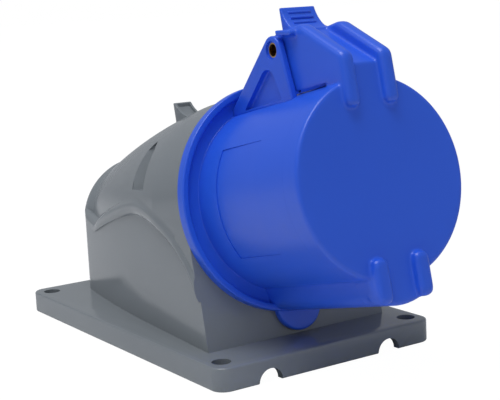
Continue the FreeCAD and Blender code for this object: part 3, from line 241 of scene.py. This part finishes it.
# The thumb tab, and the stop wing beside the arm
def lidTab(s):
    root = hinge["y"] + s["coilRadius"]
    front = bend((s["tabTop"], s["tabRear"] + s["tabTopThick"]), s["tabFoot"], s["tabHollow"], -1, 10)
    tab = [(root, s["tabRear"]), (s["tabTop"], s["tabRear"])] + front + [(root, s["channelRear"][1])]
    rearY, frontY, thick = s["wingLow"], s["wingLow"] - s["wingDrop"], s["wingThick"]
    wing = [(rearY, s["wingRear"]), (rearY + thick, s["wingRear"]),
            (frontY + thick, s["wingFront"]), (frontY, s["wingFront"])]
    return [prism("tab", tab, "x", -s["tabHalf"], s["tabHalf"]),
            prism("wing", wing, "x", -s["wingOuter"], thick - s["armHalf"])]


def lidLugs(s):
    parts = []
    lowY, highY = s["lugBottom"] + s["lugHalf"], s["lugTop"] - s["lugHalf"]
    for x in (-s["lugX"], s["lugX"]):
        left, right = x - s["lugHalf"], x + s["lugHalf"]
        low = bend((left, lowY), (right, lowY), s["lugEnd"], steps=12)
        high = bend((right, highY), (left, highY), s["lugEnd"], steps=12)
        rear = [(right, s["lugRearTop"]), (left, s["lugRearTop"])]
        parts.append(prism("lug", low + high, "z", s["face"] - s["thickness"], s["lugFace"], s["lugRound"]))
        parts.append(prism("lugRear", low + rear, "z", s["lugRear"], s["face"], s["lugRound"] / 2))
    return parts


# What is cut crisply once the lid is soft: the seam to the collar, the pin's bore and the spring's room
def lidCutters(s):
    y, z, r, seam = hinge["y"], hinge["z"], s["coilRadius"], s["seam"]
    back = z - 3 * r
    seamRing = lathe("seamCut", [(0, back), (s["underGap"], back), (s["underGap"], seam), (0, seam)])
    half, low = keyway["half"] + 1, 2 * keyway["root"]
    keySeam = prism("keySeamCut", [(-half, low), (half, low), (half, 0), (-half, 0)], "z",
                    seam - 4 * s["spare"], seam)
    mouth = [(y - 2 * r, z - 2 * r), (y + r, z - 2 * r), (y + r, z), (y - r, z), (y - 2 * r, z - r / 2)]
    return [seamRing, keySeam,
            prism("coilRoom", circle(y, z, r), "x", -s["coilHalf"], s["coilHalf"]),
            prism("coilMouth", mouth, "x", -s["coilHalf"], s["coilHalf"]),
            prism("boreCut", circle(y, z, hinge["pin"] + s["borePlay"]), "x", -s["wingOuter"], s["wingOuter"])]


def gripBars(s):
    (y, z), (stepY, stepZ), radius = s["gripStart"], s["gripPitch"], s["gripRadius"]
    outlines = [circle(y + n * stepY, z + n * stepZ, radius, 20) for n in range(s["gripBars"])]
    return [prism("gripBar", outline, "x", -s["gripHalf"], s["gripHalf"], radius / 2, 3, 60)
            for outline in outlines]


def makeLid(material):
    s = lidSizes
    parts = lidCap(s) + lidArm(s) + lidTab(s) + lidLugs(s)
    shell = combine(parts[0], parts[1:])
    shell.name = "moulded_lid"
    soften(shell, s["voxel"], s["passes"])
    combine(shell, lidCutters(s), "DIFFERENCE")
    combine(shell, gripBars(s))
    thin(shell, s["triangles"])
    shell.data.transform(socketFrame)
    shade(shell, material, s["sharpEdge"])
    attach(shell, "lid")
    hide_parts("lid")
    print("the lid is made, with", triangleCount(shell), "triangles")


frontSizes = {
    "back": -3.0, "flange": 39.0, "rimWidth": 2.3, "rimTop": 0.6, "rimRound": 0.5, "dishZ": -1.3, "root": 0.3,
    "collar": 32.0, "collarWall": 2.4, "collarEnd": 48.38, "nose": 29.0, "noseTip": 27.7, "noseEnd": 51.9,
    "bore": 21.5, "well": 26.0, "wellOuter": 28.0, "wellTop": 44.0, "wellFloor": 3.0,
    "lobe": 9.0, "lobeY": -37.0, "lobeRound": 0.8, "slotHalf": 4.3, "slotY": -34.0,
    "labelBack": 10.0, "labelFront": 33.0, "labelAngle": 68.0, "labelDepth": 0.4, "labelEnd": 0.12,
    "labelSkin": 0.6,
    "bracketHead": 4.5, "bracketInner": 10.5, "bracketOuter": 13.1, "bracketRear": 31.6, "bracketFront": 34.0,
    "bracketRoot": 28.9, "bracketRound": 0.7,
    "recessDepth": 2.0, "recessY": 36.6, "recessZ": 22.2, "recessRadius": 4.2, "recessRear": 6.2,
    "recessFront": 28.6, "recessLow": 30.1, "recessBevel": 0.8, "sink": 0.7, "sinkRadius": 3.0,
    "fixingCircle": 24.2, "fixingRadius": 1.2, "fixingEnd": 1.8,
    "screwY": -36.3, "screwRadius": 1.5, "screwEnd": 5.5, "groove": (32.2, 34.2), "grooveDepth": 0.8,
    "hookHalf": 9.0, "hookY": (27.3, 33.0), "hookGap": 3.1, "hookReach": 5.9, "overlap": 0.5}


# A head of a given radius at a place, with flanks tangent to it from two feet, as (y, z) points
def headOutline(rearFoot, frontFoot, y, z, radius):
    def touch(foot, side):
        away = Vector((foot[0] - y, foot[1] - z))
        return math.degrees(math.atan2(away.y, away.x) + side * math.acos(radius / away.length))
    first, last = touch(rearFoot, 1), touch(frontFoot, -1)
    while last < first:
        last += 360
    return [rearFoot] + arc(y, z, radius, first, last, 14) + [frontFoot]


# The collar with its well, nose, dished flange and the flange's raised rim
def socketShell(s):
    outer, inner = s["flange"] - s["rimRound"], s["flange"] - s["rimWidth"]
    wall = s["collar"] - s["collarWall"]
    profile = [(s["bore"], s["back"]), (s["wellOuter"], s["back"]), (s["wellOuter"], s["wellTop"]),
               (wall, s["wellTop"]), (wall, s["back"]), (s["flange"], s["back"])]
    profile += arc(outer, s["rimTop"] - s["rimRound"], s["rimRound"], 0, 90, 6)
    profile += arc(inner + s["rimRound"], s["rimTop"] - s["rimRound"], s["rimRound"], 90, 180, 6)
    profile += arc(inner - s["rimRound"], s["dishZ"] + s["rimRound"], s["rimRound"], 360, 270, 6)
    profile += arc(s["collar"] + s["root"], s["dishZ"] + s["root"], s["root"], 270, 180, 6)
    profile += [(s["collar"], s["collarEnd"]), (s["nose"], s["collarEnd"]), (s["noseTip"], s["noseEnd"]),
                (s["well"], s["noseEnd"]), (s["well"], s["wellFloor"]), (s["bore"], s["wellFloor"])]
    return lathe("socketShell", profile, 256)


# The label recess: a ring sector whose depth runs out to the front
def labelCutter(s):
    profile = [(s["collar"] - s["labelDepth"], s["labelBack"]), (s["collar"] + s["labelSkin"], s["labelBack"]),
               (s["collar"] + s["labelSkin"], s["labelFront"]), (s["collar"] - s["labelEnd"], s["labelFront"])]
    steps = 68
    start = 180 - s["labelAngle"] / 2
    angles = [math.radians(start + s["labelAngle"] * n / steps) for n in range(steps + 1)]
    return loft("labelCut", [[(r * math.cos(a), r * math.sin(a), z) for r, z in profile] for a in angles])


# A hinge bracket with its recess, and a sink round the pin's end
def bracket(s, side):
    y, z, outer = hinge["y"], hinge["z"], s["bracketOuter"]

    def span(one, two):
        return sorted((side * one, side * two))
    outline = [(s["bracketRoot"], s["dishZ"])]
    outline += headOutline((s["bracketRear"], s["dishZ"]), (s["bracketRoot"], s["bracketFront"]), y, z,
                           s["bracketHead"])
    plate = prism("bracket", outline, "x", *span(s["bracketInner"], outer), s["bracketRound"], 4)
    recess = headOutline((s["recessLow"], s["recessRear"]), (s["recessLow"], s["recessFront"]), s["recessY"],
                         s["recessZ"], s["recessRadius"])
    cutters = [prism("recessCut", recess, "x", *span(outer + 1, outer - s["recessDepth"]), s["recessBevel"], 5),
               prism("sinkCut", circle(y, z, s["sinkRadius"]), "x", *span(outer + 1, outer - s["sink"]))]
    return combine(plate, cutters, "DIFFERENCE")


# The keyway's slot, the pin's hole, the gasket's groove and the screw holes
def frontCutters(s):
    half, low, high = s["slotHalf"], s["slotY"], -s["bore"] - 2
    reach = s["bracketOuter"] + 2
    cutters = [labelCutter(s),
               prism("keySlot", [(-half, low), (half, low), (half, high), (-half, high)], "z", s["wellFloor"],
                     s["noseEnd"] + 1),
               prism("pinHole", circle(hinge["y"], hinge["z"], hinge["pin"]), "x", -reach, reach)]
    below, top = s["back"] - 1, s["back"] + s["grooveDepth"]
    inner, outer = s["groove"]
    cutters.append(lathe("gasketGroove", [(inner, below), (outer, below), (outer, top), (inner, top)], 256))
    for x, y, radius, end in ((-s["fixingCircle"], 0, s["fixingRadius"], s["fixingEnd"]),
                              (s["fixingCircle"], 0, s["fixingRadius"], s["fixingEnd"]),
                              (0, s["screwY"], s["screwRadius"], s["screwEnd"])):
        cutters.append(prism("screwCut", circle(x, y, radius, 32), "z", below, end))
    return cutters


def makeSocketFront(material):
    s = frontSizes
    shell = socketShell(s)
    shell.name = "moulded_socket_front"
    (hookLow, hookHigh), back, wall = s["hookY"], s["back"], s["collar"] - s["collarWall"]
    hook = [(hookLow, back), (hookLow, back - s["hookReach"]), (hookHigh, back - s["hookReach"]),
            (hookHigh, back - s["hookGap"]), (wall, back - s["hookGap"]), (wall, back + s["overlap"]),
            (hookLow, back + s["overlap"])]
    combine(shell, [prism("lobe", circle(0, s["lobeY"], s["lobe"], 96), "z", back, 0, s["lobeRound"], 4),
                    prism("keywayRidge", keywayOutline(), "z", s["dishZ"] - s["overlap"], s["collarEnd"]),
                    prism("hook", hook, "x", -s["hookHalf"], s["hookHalf"]), bracket(s, -1), bracket(s, 1)])
    combine(shell, frontCutters(s), "DIFFERENCE")
    shell.data.transform(socketFrame)
    shade(shell, material)
    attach(shell, "base")
    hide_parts("socket_front")
    print("the socket front is made, with", triangleCount(shell), "triangles")


plateSizes = {
    "width": 89.0, "length": 142.0, "height": 8.0, "corner": 5.0, "skin": 3.0, "edge": 3.0, "round": 0.7,
    "holeX": 5.8, "holeY": 7.4, "hole": 2.4, "sink": 3.2, "sinkDepth": 2.4, "boss": 5.0,
    "notch": 4.6, "notchX": 24.6}
hoodSizes = {
    "halfWidth": 37.2, "taper": 0.115, "bend": 0.00113, "bendStart": -20.9,
    "crown": 37.0, "crownStart": -14.8, "crownTaper": 0.0627, "crownBend": 0.0013,
    "front": -61.7, "rear": 69.6, "rearRound": 7.0, "wall": 2.8, "mouth": 31.0, "mouthGap": 3.0,
    "roomStart": 8.0,
    "rimStart": 55.5, "rimRun": 5.5, "rimSide": 2.8, "rimTop": 1.2,
    "panel": 36.3, "panelTaper": 0.0755, "panelBend": 0.00098, "panelStart": -5.0, "panelRear": 67.4,
    "panelCorner": 12.0,
    "archHeight": 39.2, "archMid": -3.0, "archFront": 51.0, "archShare": 0.995, "archFall": 0.08,
    "archPower": 1.334, "archTip": 43.5, "archRise": 0.27, "archRound": 5.5, "archBulge": 0.2, "archThin": 3.5,
    "lip": 0.6, "lipLeast": 0.02, "lipEnd": (40.0, 56.0),
    "rearArch": 40.0, "rearSpan": 30.0, "entry": 10.2, "entryZ": 27.0, "entryDepth": 6.0,
    "screw": 1.8, "screwFrom": -9.0, "screwTo": 3.0}


# How far y lies past a start
def past(y, start):
    return max(y - start, 0)


# The hood's lines along y: raised rear rim, half width, crown, side panels and side arch
def rimShare(y, s=hoodSizes):
    share = min(past(y, s["rimStart"]) / s["rimRun"], 1)
    return share * share * (3 - 2 * share)


def hoodHalf(y, s=hoodSizes):
    over = past(y, s["bendStart"])
    return s["halfWidth"] - s["taper"] * over - s["bend"] * over ** 2 + s["rimSide"] * rimShare(y)


def hoodCrown(y, s=hoodSizes):
    axis = socket["centerZ"] - (y - socket["centerY"]) * math.tan(tilt)
    over = past(y, s["crownStart"])
    dome = axis + s["crown"] / math.cos(tilt) - s["crownTaper"] * over - s["crownBend"] * over ** 2
    return dome + s["rimTop"] * rimShare(y)


def panelHalf(y, s=hoodSizes):
    corner = s["panelCorner"]
    over = min(past(y, s["panelRear"] - corner), corner)
    rounding = corner - math.sqrt(corner ** 2 - over ** 2)
    taper = s["panelTaper"] * (y - socket["centerY"]) + s["panelBend"] * past(y, s["panelStart"]) ** 2
    return s["panel"] - taper - rounding


def archLine(y, s=hoodSizes):
    deck = plateSizes["height"]
    if y < s["archMid"]:
        share = min((s["archMid"] - y) / s["archFront"], s["archShare"])
        return deck + s["archHeight"] * math.sqrt(1 - share ** 2)
    way = min(y, s["archTip"]) - s["archMid"]
    fall = s["archFall"] * way ** s["archPower"]
    return deck + s["archHeight"] - fall + s["archRise"] * past(y, s["archTip"])


# One cross-section of the hood, from the foot of one panel over the crown to the other: an upright panel,
# the arch as a rounded band from the panel's lip out to the dome, the dome, and the same mirrored
def hoodSection(y, inset, s=hoodSizes, legSteps=8, archSteps=10, crownSteps=30):
    half, crown, panel = hoodHalf(y) - inset, hoodCrown(y) - inset, panelHalf(y)
    lipFrom, lipTo = s["lipEnd"]
    lip = s["lip"] * min(max((lipTo - y) / (lipTo - lipFrom), s["lipLeast"]), 1)
    spring, low = crown - half, archLine(y)
    high = low + s["archRound"] - s["archThin"] * min(past(y, lipFrom) / (lipTo - lipFrom), 1)
    top = (math.sqrt(half ** 2 - max(high - spring, 0) ** 2), high)
    edge = (panel + lip, low)
    chord = math.hypot(top[0] - edge[0], top[1] - edge[1])
    rise = s["archBulge"] * chord
    radius = (rise ** 2 + (chord / 2) ** 2) / (2 * rise)
    right = [(panel, low * n / legSteps) for n in range(legSteps + 1)]
    right += bend(edge, top, radius, 1, archSteps)[:-1]
    straight = max(spring - high, 0)  # upright stretch below the round crown
    turn = math.asin(min(max((high - spring) / half, 0), 1))
    length = straight + half * (math.pi / 2 - turn)
    for n in range(crownSteps):
        way = length * n / crownSteps
        if way < straight:
            right.append((half, high + way))
        else:
            angle = turn + (way - straight) / half
            right.append((half * math.cos(angle), spring + half * math.sin(angle)))
    left = [(-x, z) for x, z in reversed(right)]
    return [(x, y, z) for x, z in right + [(0, crown)] + left]


def hoodShell(s, stations=160):
    turn = s["rear"] - s["rearRound"]
    places = [(s["front"] + (turn - s["front"]) * n / stations, 0) for n in range(stations + 1)]
    for degrees in range(8, 89, 8):
        angle = math.radians(degrees)
        places.append((turn + s["rearRound"] * math.sin(angle), s["rearRound"] * (1 - math.cos(angle))))
    return loft("hoodShell", [hoodSection(y, inset) for y, inset in places])


# The hollow inside the hood
def roomShell(s, stations=40):
    front, rear, floor = s["front"] + s["roomStart"], s["panelRear"] - s["wall"], -1
    sections = []
    for n in range(stations + 1):
        y = front + (rear - front) * n / stations
        over = past(y, rear - s["rearRound"])
        half = min(panelHalf(y), hoodHalf(y)) - s["wall"] - over / 2
        crown = hoodCrown(y) - s["wall"] - over
        top = [(x, y, z) for x, z in arc(0, crown - half, half, 0, 180, 40)]
        sections.append([(half, y, floor)] + top + [(-half, y, floor)])
    return loft("room", sections)


def inSocket(piece):
    piece.data.transform(socketFrame)
    return piece


# All that lies ahead of a level on the socket's axis
def aheadOf(level, far=300):
    return inSocket(prism("ahead", [(-far, -far), (far, -far), (far, far), (-far, far)], "z", level, far))


def plateOutline(width, length, corner):
    x, y = width / 2 - corner, length / 2 - corner
    corners = ((x, y, 0), (-x, y, 90), (-x, -y, 180), (x, -y, 270))
    return [spot for cx, cy, start in corners for spot in arc(cx, cy, corner, start, start + 90, 10)]


def holePlaces(p):
    x, y = p["width"] / 2 - p["holeX"], p["length"] / 2 - p["holeY"]
    return [(a * x, b * y) for a in (-1, 1) for b in (-1, 1)]


# The plate, and what hollows it from below but for the bosses round the holes
def makePlate(p):
    outside = plateOutline(p["width"], p["length"], p["corner"])
    inside = plateOutline(p["width"] - 2 * p["edge"], p["length"] - 2 * p["edge"], p["corner"] - p["edge"] / 2)
    plate = prism("plate", outside, "z", 0, p["height"], p["round"], 4, 60)
    hollow = prism("hollow", inside, "z", -1, p["height"] - p["skin"])
    bosses = [prism("boss", circle(x, y, p["boss"], 40), "z", -2, p["height"]) for x, y in holePlaces(p)]
    combine(hollow, bosses, "DIFFERENCE")
    return plate, hollow


# Cuts the hood's rear back to its flat wall under an arch
def rearCutter(s):
    deck, far, half = plateSizes["height"], plateSizes["length"], s["rearSpan"]
    rise = [(half * math.cos(math.radians(a)), deck + s["rearArch"] * math.sin(math.radians(a)))
            for a in range(0, 181, 4)]
    return prism("rearArch", [(half, -deck)] + rise + [(-half, -deck)], "y", s["panelRear"], far)


finSizes = {"width": 7.4, "y": 18.2, "top": 83.3, "foot": 6.0, "scoop": 14.0, "wall": 1.0, "lean": 2.0,
            "round": 0.25, "sunk": 1.4, "floorDip": (0.4, -0.8), "toeDip": (1.0, -0.2), "tipDip": 0.2,
            "clear": 12.0}


# The fin on the crown: a leaning rear, and a front scooped out between two thin walls, which stand
# proud of the scoop's floor by the dips, in (y, z)
def crownFin(s):
    half, wall = s["width"] / 2, s["wall"]
    base = hoodCrown(s["y"]) - s["sunk"]
    hollow = bend((s["foot"], hoodCrown(s["foot"])), (s["y"] - wall, s["top"]), s["scoop"], 1, 12)
    side = hollow + [(s["y"], s["top"]), (s["y"] - s["lean"], base), (s["foot"], base)]
    fin = prism("fin", side, "x", -half, half, s["round"], 2)
    (lowY, lowZ), (highY, highZ) = hollow[0], hollow[-1]
    (toeY, toeZ), (dipY, dipZ) = s["toeDip"], s["floorDip"]
    scoop = [(lowY, lowZ + s["clear"]), (lowY + toeY, lowZ + toeZ)]
    scoop += [(y + dipY, z + dipZ) for y, z in hollow[2:-1]] + [(highY + s["tipDip"], highZ + s["clear"])]
    return combine(fin, [prism("scoop", scoop, "x", wall - half, half - wall)], "DIFFERENCE")


# The pockets' outline in (y, z), and their floor: its x at y = z = 0 and its slopes along y and z
pocketSizes = {
    "outline": ((-11.2, 57.2), (-10.5, 62.0), (-9.4, 67.0), (-7.8, 70.6), (-4.9, 72.9), (-3.1, 71.8),
                (0.1, 68.8), (1.2, 65.7), (1.5, 62.8), (1.1, 59.8), (0.3, 56.0)),
    "floor": 57.5, "slopeY": 0.78, "slopeZ": -0.45, "back": 2.2}


# A shoulder pocket; with grow it is the larger block that stays solid behind the pocket's wall
def shoulderPocket(s, side, grow=0):
    centerY = sum(y for y, z in s["outline"]) / len(s["outline"])
    centerZ = sum(z for y, z in s["outline"]) / len(s["outline"])
    outline = []
    for y, z in s["outline"]:
        away = Vector((y - centerY, z - centerZ))
        away *= 1 + grow / away.length
        outline.append((centerY + away.x, centerZ + away.y))
    far = 60
    cutter = prism("pocket", outline, "x", 0, far)
    for vertex in cutter.data.vertices:
        if vertex.co.x < far / 2 * mm:
            vertex.co.x = (s["floor"] - grow) * mm + s["slopeY"] * vertex.co.y + s["slopeZ"] * vertex.co.z
    if side < 0:
        cutter.data.transform(Matrix.Diagonal((-1, 1, 1, 1)))
        cutter.data.flip_normals()
    return cutter


# Pockets, knock-out notches, screw holes, cable entry and the round mouth behind the socket front
def housingCutters(s, p):
    cutters = []
    for side in (-1, 1):
        cutters.append(shoulderPocket(pocketSizes, side))
        notch = circle(side * p["notchX"], 0, p["notch"])
        cutters.append(prism("notch", notch, "y", -p["length"] / 2 - 1, -p["length"] / 2 + p["edge"] + 1))
    top = p["height"] + 1
    for x, y in holePlaces(p):
        cutters.append(prism("hole", circle(x, y, p["hole"], 40), "z", -1, top))
        cutters.append(prism("sink", circle(x, y, p["sink"], 40), "z", p["height"] - p["sinkDepth"], top))
    cutters.append(prism("entry", circle(0, s["entryZ"], s["entry"]), "y", s["panelRear"] - s["entryDepth"],
                         s["panelRear"] + s["entryDepth"]))
    mouth, screw = circle(0, 0, s["mouth"], 128), circle(0, frontSizes["screwY"], s["screw"], 32)
    cutters.append(inSocket(prism("mouth", mouth, "z", -s["mouthGap"] - s["wall"] - 2, 5)))
    cutters.append(inSocket(prism("screwHole", screw, "z", s["screwFrom"], s["screwTo"])))
    return cutters


def makeHousing(material):
    s, p = hoodSizes, plateSizes
    shell = hoodShell(s)
    shell.name = "moulded_housing"
    combine(shell, [aheadOf(-s["mouthGap"]), rearCutter(s)], "DIFFERENCE")
    plate, hollow = makePlate(p)
    combine(shell, [plate, crownFin(finSizes)])
    backs = [shoulderPocket(pocketSizes, side, pocketSizes["back"]) for side in (-1, 1)]
    room = combine(roomShell(s), [aheadOf(-s["mouthGap"] - s["wall"])] + backs, "DIFFERENCE")
    combine(shell, [room, hollow] + housingCutters(s, p), "DIFFERENCE")
    shade(shell, material)
    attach(shell, "base")
    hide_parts("housing")
    print("the housing is made, with", triangleCount(shell), "triangles")


# One shader group for all finishes: a fine grain for the bump, and a slow drift for tone and gloss
def grainGroup():
    group = bpy.data.node_groups.new("mouldedGrain", "ShaderNodeTree")
    nodes, link = group.nodes, group.links.new
    inlet, outlet = nodes.new("NodeGroupInput"), nodes.new("NodeGroupOutput")
    spot = nodes.new("ShaderNodeTexCoord")
    for scaleName, scale, result, detail, rough in (("Grain Scale", 900, "Height", 4, 0.6),
                                                    ("Drift Scale", 12, "Drift", 2, 0.5)):
        size = group.interface.new_socket(scaleName, in_out="INPUT", socket_type="NodeSocketFloat")
        size.default_value = scale
        group.interface.new_socket(result, in_out="OUTPUT", socket_type="NodeSocketFloat")
        noise = nodes.new("ShaderNodeTexNoise")
        noise.inputs["Detail"].default_value = detail
        noise.inputs["Roughness"].default_value = rough
        link(spot.outputs["Object"], noise.inputs["Vector"])
        link(inlet.outputs[scaleName], noise.inputs["Scale"])
        link(noise.outputs["Fac"], outlet.inputs[result])
    return group


# A colour of 0 to 255 a channel, as Blender's linear colour
def toLinear(colour):
    parts = [value / 255 for value in colour]
    return [v / 12.92 if v <= 0.04045 else ((v + 0.055) / 1.055) ** 2.4 for v in parts] + [1]


looks = {
    "housing_grey": {"name": "greyMoulding", "dark": (118, 124, 129), "light": (124, 130, 135), "rough": 0.16,
                     "roughSpread": 0.03, "grainScale": 2200, "driftScale": 14, "bump": 0.12, "bumpDepth": 0.02},
    "socket_blue": {"name": "blueMoulding", "dark": (36, 88, 216), "light": (40, 93, 222), "rough": 0.34,
                    "roughSpread": 0.03, "grainScale": 2200, "driftScale": 14, "bump": 0.10, "bumpDepth": 0.02},
    "carrier_grey": {"name": "darkThermoset", "dark": (52, 54, 57), "light": (60, 62, 66), "rough": 0.45,
                     "roughSpread": 0.05, "grainScale": 1800, "driftScale": 20, "bump": 0.2, "bumpDepth": 0.03},
    "rubber": {"name": "sealRubber", "dark": (30, 31, 33), "light": (38, 39, 41), "rough": 0.7,
               "roughSpread": 0.08, "grainScale": 1500, "driftScale": 30, "bump": 0.3, "bumpDepth": 0.05},
    "brass": {"name": "turnedBrass", "dark": (178, 140, 84), "light": (201, 164, 104), "metal": 1, "rough": 0.28,
              "roughSpread": 0.08, "grainScale": 1200, "driftScale": 60, "bump": 0.15, "bumpDepth": 0.02},
    "steel": {"name": "zincSteel", "dark": (150, 153, 158), "light": (182, 185, 190), "metal": 1, "rough": 0.32,
              "roughSpread": 0.1, "grainScale": 1200, "driftScale": 60, "bump": 0.15, "bumpDepth": 0.02}}


def newFinish(look, grain):
    material = bpy.data.materials.new(look["name"])
    material.use_nodes = True
    nodes, link = material.node_tree.nodes, material.node_tree.links.new
    shader = nodes["Principled BSDF"]
    shader.inputs["Metallic"].default_value = look.get("metal", 0)
    surface = nodes.new("ShaderNodeGroup")
    surface.node_tree = grain
    surface.inputs["Grain Scale"].default_value = look["grainScale"]
    surface.inputs["Drift Scale"].default_value = look["driftScale"]
    tone = nodes.new("ShaderNodeValToRGB")
    for stop, spot, colour in zip(tone.color_ramp.elements, (0.3, 0.7), (look["dark"], look["light"])):
        stop.position, stop.color = spot, toLinear(colour)
    link(surface.outputs["Drift"], tone.inputs["Fac"])
    link(tone.outputs["Color"], shader.inputs["Base Color"])
    gloss = nodes.new("ShaderNodeMapRange")
    gloss.inputs["To Min"].default_value = look["rough"] - look["roughSpread"]
    gloss.inputs["To Max"].default_value = look["rough"] + look["roughSpread"]
    link(surface.outputs["Drift"], gloss.inputs["Value"])
    link(gloss.outputs["Result"], shader.inputs["Roughness"])
    bump = nodes.new("ShaderNodeBump")
    bump.inputs["Strength"].default_value = look["bump"]
    bump.inputs["Distance"].default_value = look["bumpDepth"] * mm
    link(surface.outputs["Height"], bump.inputs["Height"])
    link(bump.outputs["Normal"], shader.inputs["Normal"])
    return material


# The floor is pale, and white to the camera but for a little of the object's shadow; half its width in mm
stageLook = {"half": 4000, "level": -0.2, "colour": (235, 236, 238), "glow": 1.06, "cameraShare": 0.93}


def makeStage(s):
    bm = bmesh.new()
    corners = [(x * s["half"], y * s["half"], s["level"]) for x, y in ((-1, -1), (1, -1), (1, 1), (-1, 1))]
    bm.faces.new([bm.verts.new(corner) for corner in toMetres(corners)])
    floor = newPiece("floor", bm)
    material = bpy.data.materials.new("paleFloor")
    material.use_nodes = True
    nodes, link = material.node_tree.nodes, material.node_tree.links.new
    nodes.clear()
    seen, matt = nodes.new("ShaderNodeEmission"), nodes.new("ShaderNodeBsdfDiffuse")
    rays, share = nodes.new("ShaderNodeLightPath"), nodes.new("ShaderNodeMath")
    mix, out = nodes.new("ShaderNodeMixShader"), nodes.new("ShaderNodeOutputMaterial")
    seen.inputs["Strength"].default_value = s["glow"]
    matt.inputs["Color"].default_value = toLinear(s["colour"])
    share.operation = "MULTIPLY"
    share.inputs[1].default_value = s["cameraShare"]
    link(rays.outputs["Is Camera Ray"], share.inputs[0])
    link(share.outputs["Value"], mix.inputs["Fac"])
    link(matt.outputs["BSDF"], mix.inputs[1])
    link(seen.outputs["Emission"], mix.inputs[2])
    link(mix.outputs["Shader"], out.inputs["Surface"])
    floor.data.materials.append(material)


worldLook = {"strength": 0.43, "colour": (228, 232, 238)}


# Soft light from all sides, and plain white where the camera sees past the floor
def makeWorld(w):
    world = bpy.data.worlds.new("studio")
    bpy.context.scene.world = world
    world.use_nodes = True
    nodes, link = world.node_tree.nodes, world.node_tree.links.new
    nodes.clear()
    glow, white = nodes.new("ShaderNodeBackground"), nodes.new("ShaderNodeBackground")
    rays, mix = nodes.new("ShaderNodeLightPath"), nodes.new("ShaderNodeMixShader")
    out = nodes.new("ShaderNodeOutputWorld")
    glow.inputs["Color"].default_value = toLinear(w["colour"])
    glow.inputs["Strength"].default_value = w["strength"]
    white.inputs["Color"].default_value = (1, 1, 1, 1)
    link(rays.outputs["Is Camera Ray"], mix.inputs["Fac"])
    link(glow.outputs["Background"], mix.inputs[1])
    link(white.outputs["Background"], mix.inputs[2])
    link(mix.outputs["Shader"], out.inputs["Surface"])


# Places and sizes in metres, power in watts
lamps = {
    "topLamp": {"spot": (-0.25, -0.1, 0.9), "aim": (0, 0, 0.04), "size": 0.6, "power": 5.3},
    "fillLamp": {"spot": (-0.6, -0.75, 0.6), "aim": (0, 0, 0.04), "size": 0.6, "power": 0.3},
    "streakLamp": {"spot": (-0.62, 0.34, 0.6), "aim": (0, -0.03, 0.05), "size": 0.08, "power": 0.2}}


def addLamp(name, lamp):
    data = bpy.data.lights.new(name, "AREA")
    data.shape, data.size, data.energy = "DISK", lamp["size"], lamp["power"]
    holder = bpy.data.objects.new(name, data)
    bpy.context.scene.collection.objects.link(holder)
    holder.location = lamp["spot"]
    holder.rotation_euler = (Vector(lamp["aim"]) - Vector(lamp["spot"])).to_track_quat("-Z", "Y").to_euler()


# The view's angles in degrees, its distances and sensor in mm, its focal length and frame in pixels
camera = {"azimuth": -33.362, "elevation": 9.944, "roll": -2.713, "distance": 475.681, "across": 12.054,
          "above": 46.971, "focal": 1252.493, "frame": 500, "sensor": 36, "nearest": 10}


def makeCamera(c):
    a, e, r = (math.radians(c[key]) for key in ("azimuth", "elevation", "roll"))
    back = Vector((math.sin(a) * math.cos(e), -math.cos(a) * math.cos(e), math.sin(e)))
    level = Vector((math.cos(a), math.sin(a), 0))
    upright = back.cross(level)
    right = math.cos(r) * level + math.sin(r) * upright
    up = math.cos(r) * upright - math.sin(r) * level
    data = bpy.data.cameras.new("camera")
    data.sensor_width = c["sensor"]
    data.lens = c["sensor"] * c["focal"] / c["frame"]
    data.clip_start = c["nearest"] * mm
    eye = bpy.data.objects.new("camera", data)
    bpy.context.scene.collection.objects.link(eye)
    spot = (back * c["distance"] + right * c["across"] + up * c["above"]) * mm
    eye.matrix_world = Matrix.Translation(spot) @ Matrix((right, up, back)).transposed().to_4x4()
    bpy.context.scene.camera = eye


grain = grainGroup()
finishes = {slot: newFinish(look, grain) for slot, look in looks.items()}
slots = {part["node"]: part["material_slot"] for part in frame["record"]["subparts"]}
for name, node in frame["nodes"].items():
    shade(node, finishes[slots[name]])
print("finishes are on", len(frame["nodes"]), "solids")

makeLid(finishes["socket_blue"])
makeSocketFront(finishes["socket_blue"])
makeHousing(finishes["housing_grey"])

makeStage(stageLook)
makeWorld(worldLook)
for name, lamp in lamps.items():
    addLamp(name, lamp)
makeCamera(camera)
bpy.context.scene.view_settings.view_transform = "Standard"
print("stage, lamps and camera are set")
